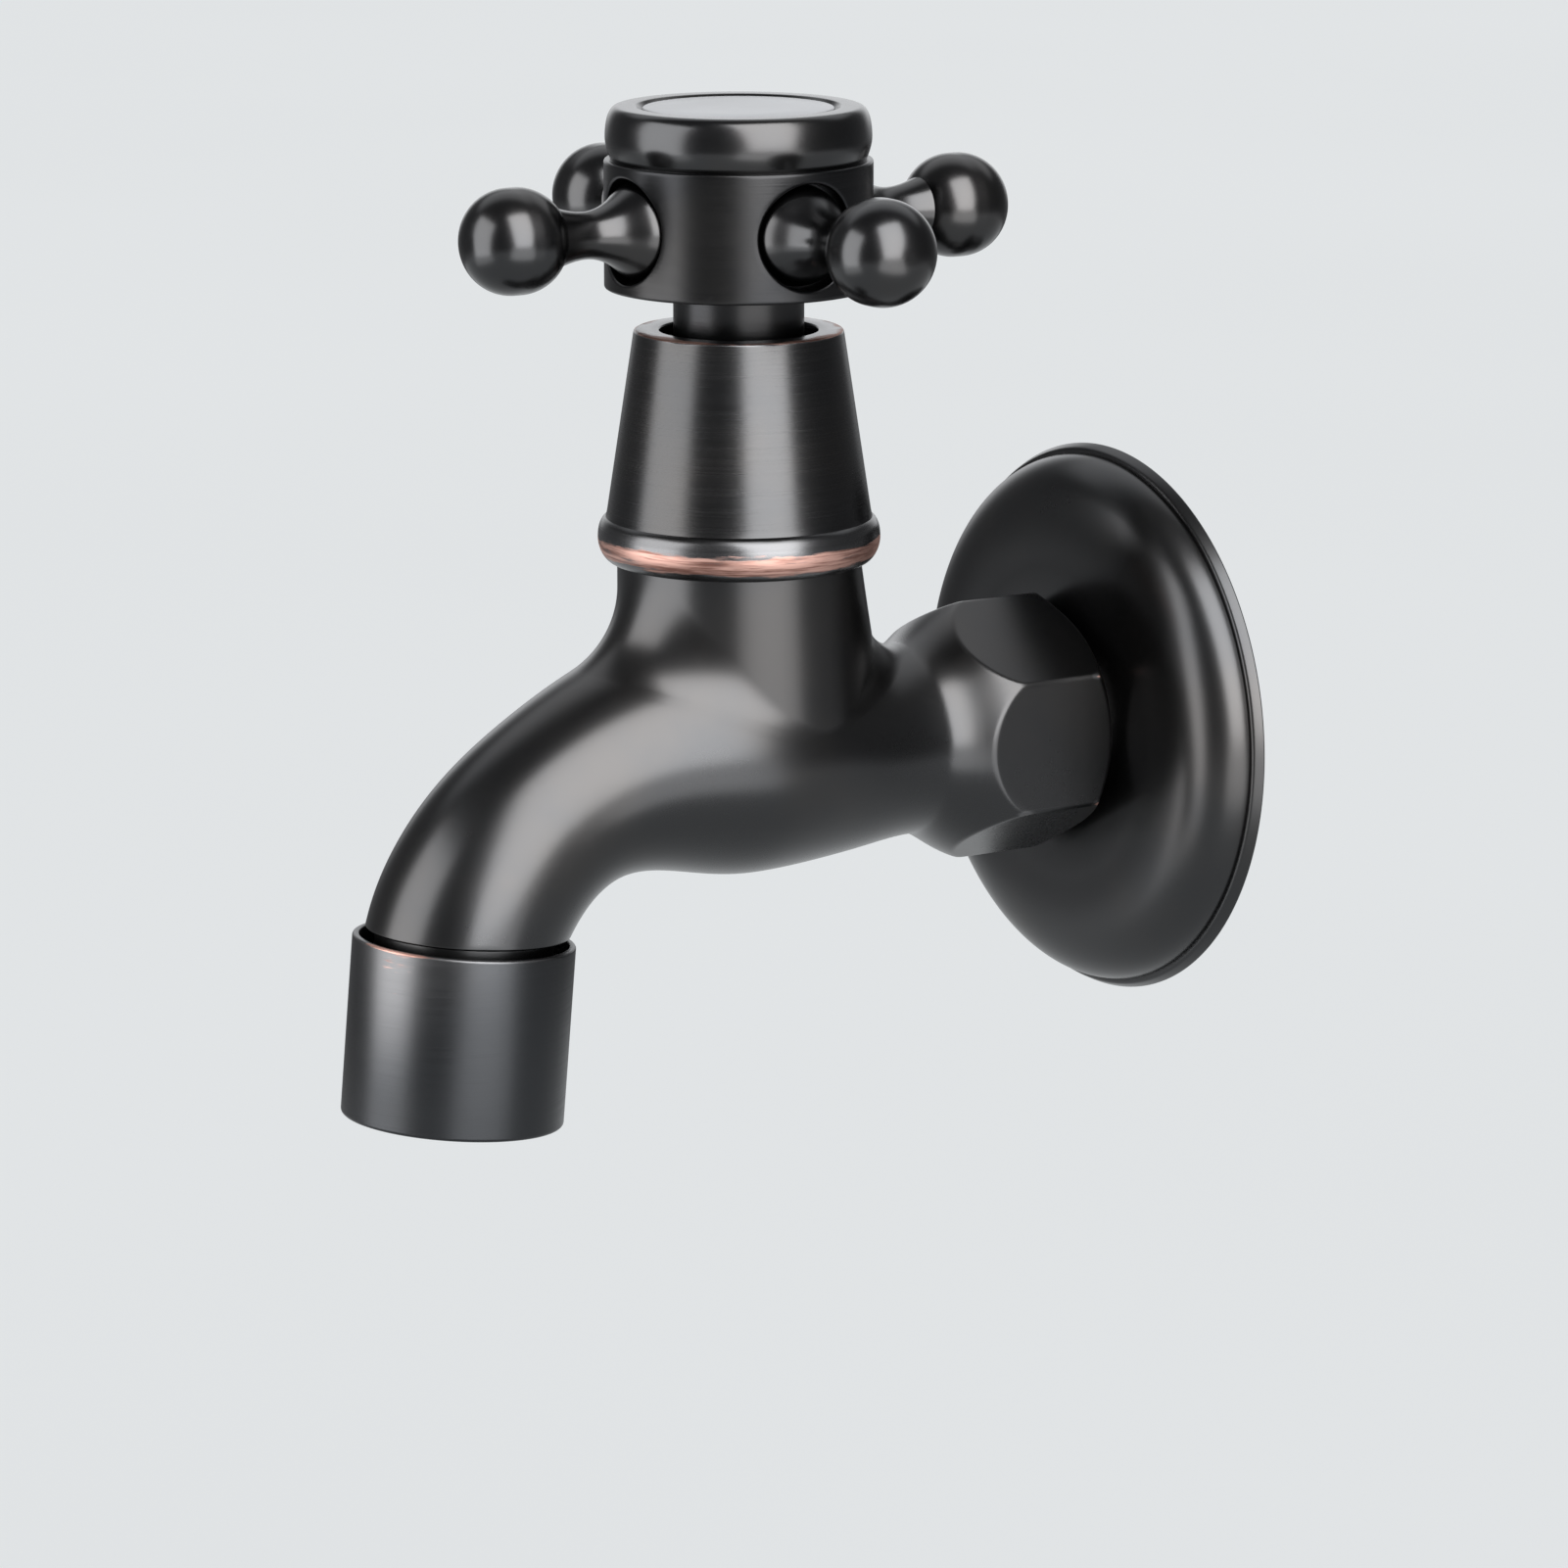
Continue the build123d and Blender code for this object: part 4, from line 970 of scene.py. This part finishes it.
innerFinishes = {
    "plain_brass": plainMetal("machinedBrass", (0.72, 0.53, 0.25), 0.28, 2500),
    "steel": plainMetal("stainlessSteel", (0.62, 0.63, 0.64), 0.25, 3000),
    "ceramic_disc": plainSolid("lappedCeramic", (0.74, 0.73, 0.71), 0.22, 700, 3e-6),
    "seal_rubber": plainSolid("blackRubber", (0.022, 0.022, 0.023), 0.55, 1200, 8e-6),
    "slip_plastic": plainSolid("slipPlastic", (0.70, 0.70, 0.68), 0.4, 500, 5e-6),
    "aerator_plastic": plainSolid("aeratorPlastic", (0.68, 0.68, 0.665), 0.42, 600, 6e-6),
}

# the solids inside are shown as they are, and only they have one of these slots
for row in frame["record"]["subparts"]:
    if row["material_slot"] in innerFinishes:
        for holder in frame["nodes"][row["node"]].material_slots:
            holder.material = innerFinishes[row["material_slot"]]


# Stage, light and camera

view = {
    "turn": 57.58, "lift": 12.42, "distance": 0.70405, "focus": (0.00290, -0.04306, -0.00257),
    "lens": 153.0, "sensor": 36.0, "clip": (0.01, 50.0),
}


def viewDirection(bearing, rise):
    return Vector((math.sin(bearing) * math.cos(rise), -math.cos(bearing) * math.cos(rise), math.sin(rise)))


turn = math.radians(view["turn"])
back = viewDirection(turn, math.radians(view["lift"]))
right = Vector((math.cos(turn), math.sin(turn), 0))
focus = Vector(view["focus"])

cameraData = bpy.data.cameras.new("studioCamera")
camera = linked("studioCamera", cameraData)
cameraData.lens, cameraData.sensor_width = view["lens"], view["sensor"]
cameraData.clip_start, cameraData.clip_end = view["clip"]
basis = Matrix((right, back.cross(right), back)).transposed().to_4x4()
camera.matrix_world = Matrix.Translation(focus + back * view["distance"]) @ basis
bpy.context.scene.camera = camera


def stageSheet(name, rows, material):
    verts, faces = patch(rows, True)
    mesh = bpy.data.meshes.new(name)
    mesh.from_pydata((verts * metres).tolist(), [], faces.tolist())
    mesh.shade_smooth()
    mesh.materials.append(material)
    sheet = linked(name, mesh)
    return sheet


studio = {
    "floorHeight": -450.0, "floorRings": [1.0, 300.0, 900.0, 2500.0, 9000.0],
    "floorTones": [(0.88, 0.89, 0.895, 1), (0.868, 0.878, 0.883, 1)], "columns": 96,
    "cardRadius": 1500.0, "cardRows": 40, "cardDark": (0.15, 0.152, 0.158, 1),
    # glows of the cards: painted reflections of a lit floor below and a lit backdrop behind
    "cardBelow": (1.45, 1.47, 1.50, 1), "cardBehind": (1.25, 1.27, 1.30, 1),
    "worldColor": (0.86, 0.875, 0.885, 1),
}

print("setting the stage")
finish = Finish("paleFloor")
tint = finish.mix(finish.ramp(finish.noise(1.2, 2.0), 0.2, 0.8), *studio["floorTones"])
material = finish.surface(Base_Color=tint, Roughness=1.0, Specular_IOR_Level=0.0)
angle = np.linspace(0, 2 * np.pi, studio["columns"], endpoint=False)
around = np.stack([np.cos(angle), np.sin(angle), 0 * angle], -1)
rings = np.array(studio["floorRings"])[:, None, None]
stageSheet("studioFloor", rings * around + np.array([0, 0, studio["floorHeight"]]), material)

# painted reflections: dark cards all round, seen only in reflections, keep the metal dark between the lamps
# as a painted dark surround;
# low down on the camera's side they glow as a painted reflection of a lit floor, and behind the object and
# above it as a painted reflection of a lit backdrop
finish = Finish("paintedReflectionCard")
radius, dot = studio["cardRadius"], {"operation": "DOT_PRODUCT"}
towards, upward = [
    finish.node("ShaderNodeVectorMath", dot, {0: finish.place, 1: axis}, "Value") / (radius * metres)
    for axis in ((math.sin(turn), -math.cos(turn), 0.0), (0.0, 0.0, 1.0))
]
# where the cards carry the painted reflections of floor and backdrop
below = finish.ramp(upward * -1, 0.10, 0.40) * finish.ramp(towards, -0.78, 0.02)
behind = finish.ramp(towards * -1, 0.80, 0.95) * finish.ramp(upward, -0.12, 0.10)
behind = behind + finish.ramp(towards * -1, 0.15, 0.45) * finish.ramp(upward, 0.48, 0.66)
glow = finish.mix(behind, studio["cardDark"], studio["cardBehind"])
glow = finish.mix(below, glow, studio["cardBelow"])
material = finish.surface(Base_Color=(0.0, 0.0, 0.0, 1), Roughness=1.0, Emission_Color=glow,
                          Emission_Strength=1.0)
rise = np.radians(np.linspace(-89, 89, studio["cardRows"]))[:, None, None]
globe = radius * (np.cos(rise) * around + np.sin(rise) * np.array([0, 0, 1]))
cards = stageSheet("paintedReflectionCards", globe, material)
cards.visible_camera = cards.visible_diffuse = cards.visible_shadow = False
cards.visible_transmission = cards.visible_volume_scatter = False

world = bpy.data.worlds.new("paleStudio")
world.use_nodes = True
bpy.context.scene.world = world
world.node_tree.nodes["Background"].inputs["Color"].default_value = studio["worldColor"]

# bearing to the right of the camera and lift above the horizon, in degrees; width and height, in metres;
# level of the light
softboxes = {
    "leftStrip": (-71, 12, 0.76, 1.02, 5.0), "leftLow": (-71, -32, 0.80, 0.46, 1.6),
    "rightStrip": (28.5, 33, 0.78, 1.26, 8.6), "rightLow": (28, -20, 0.95, 0.60, 2.6),
}
softboxDistance = 0.9
for name, (bearing, lift, width, height, level) in softboxes.items():
    lamp = bpy.data.lights.new(name, "AREA")
    lamp.shape, lamp.size, lamp.size_y = "RECTANGLE", width, height
    lamp.energy = level * math.pi * width * height
    lampObject = linked(name, lamp)
    lampObject.visible_camera = lampObject.visible_diffuse = False
    away = viewDirection(turn + math.radians(bearing), math.radians(lift))
    facing = away.to_track_quat("Z", "Y").to_matrix().to_4x4()
    lampObject.matrix_world = Matrix.Translation(focus + away * softboxDistance) @ facing
bpy.context.scene.view_settings.view_transform = "Standard"

print("scene ready")
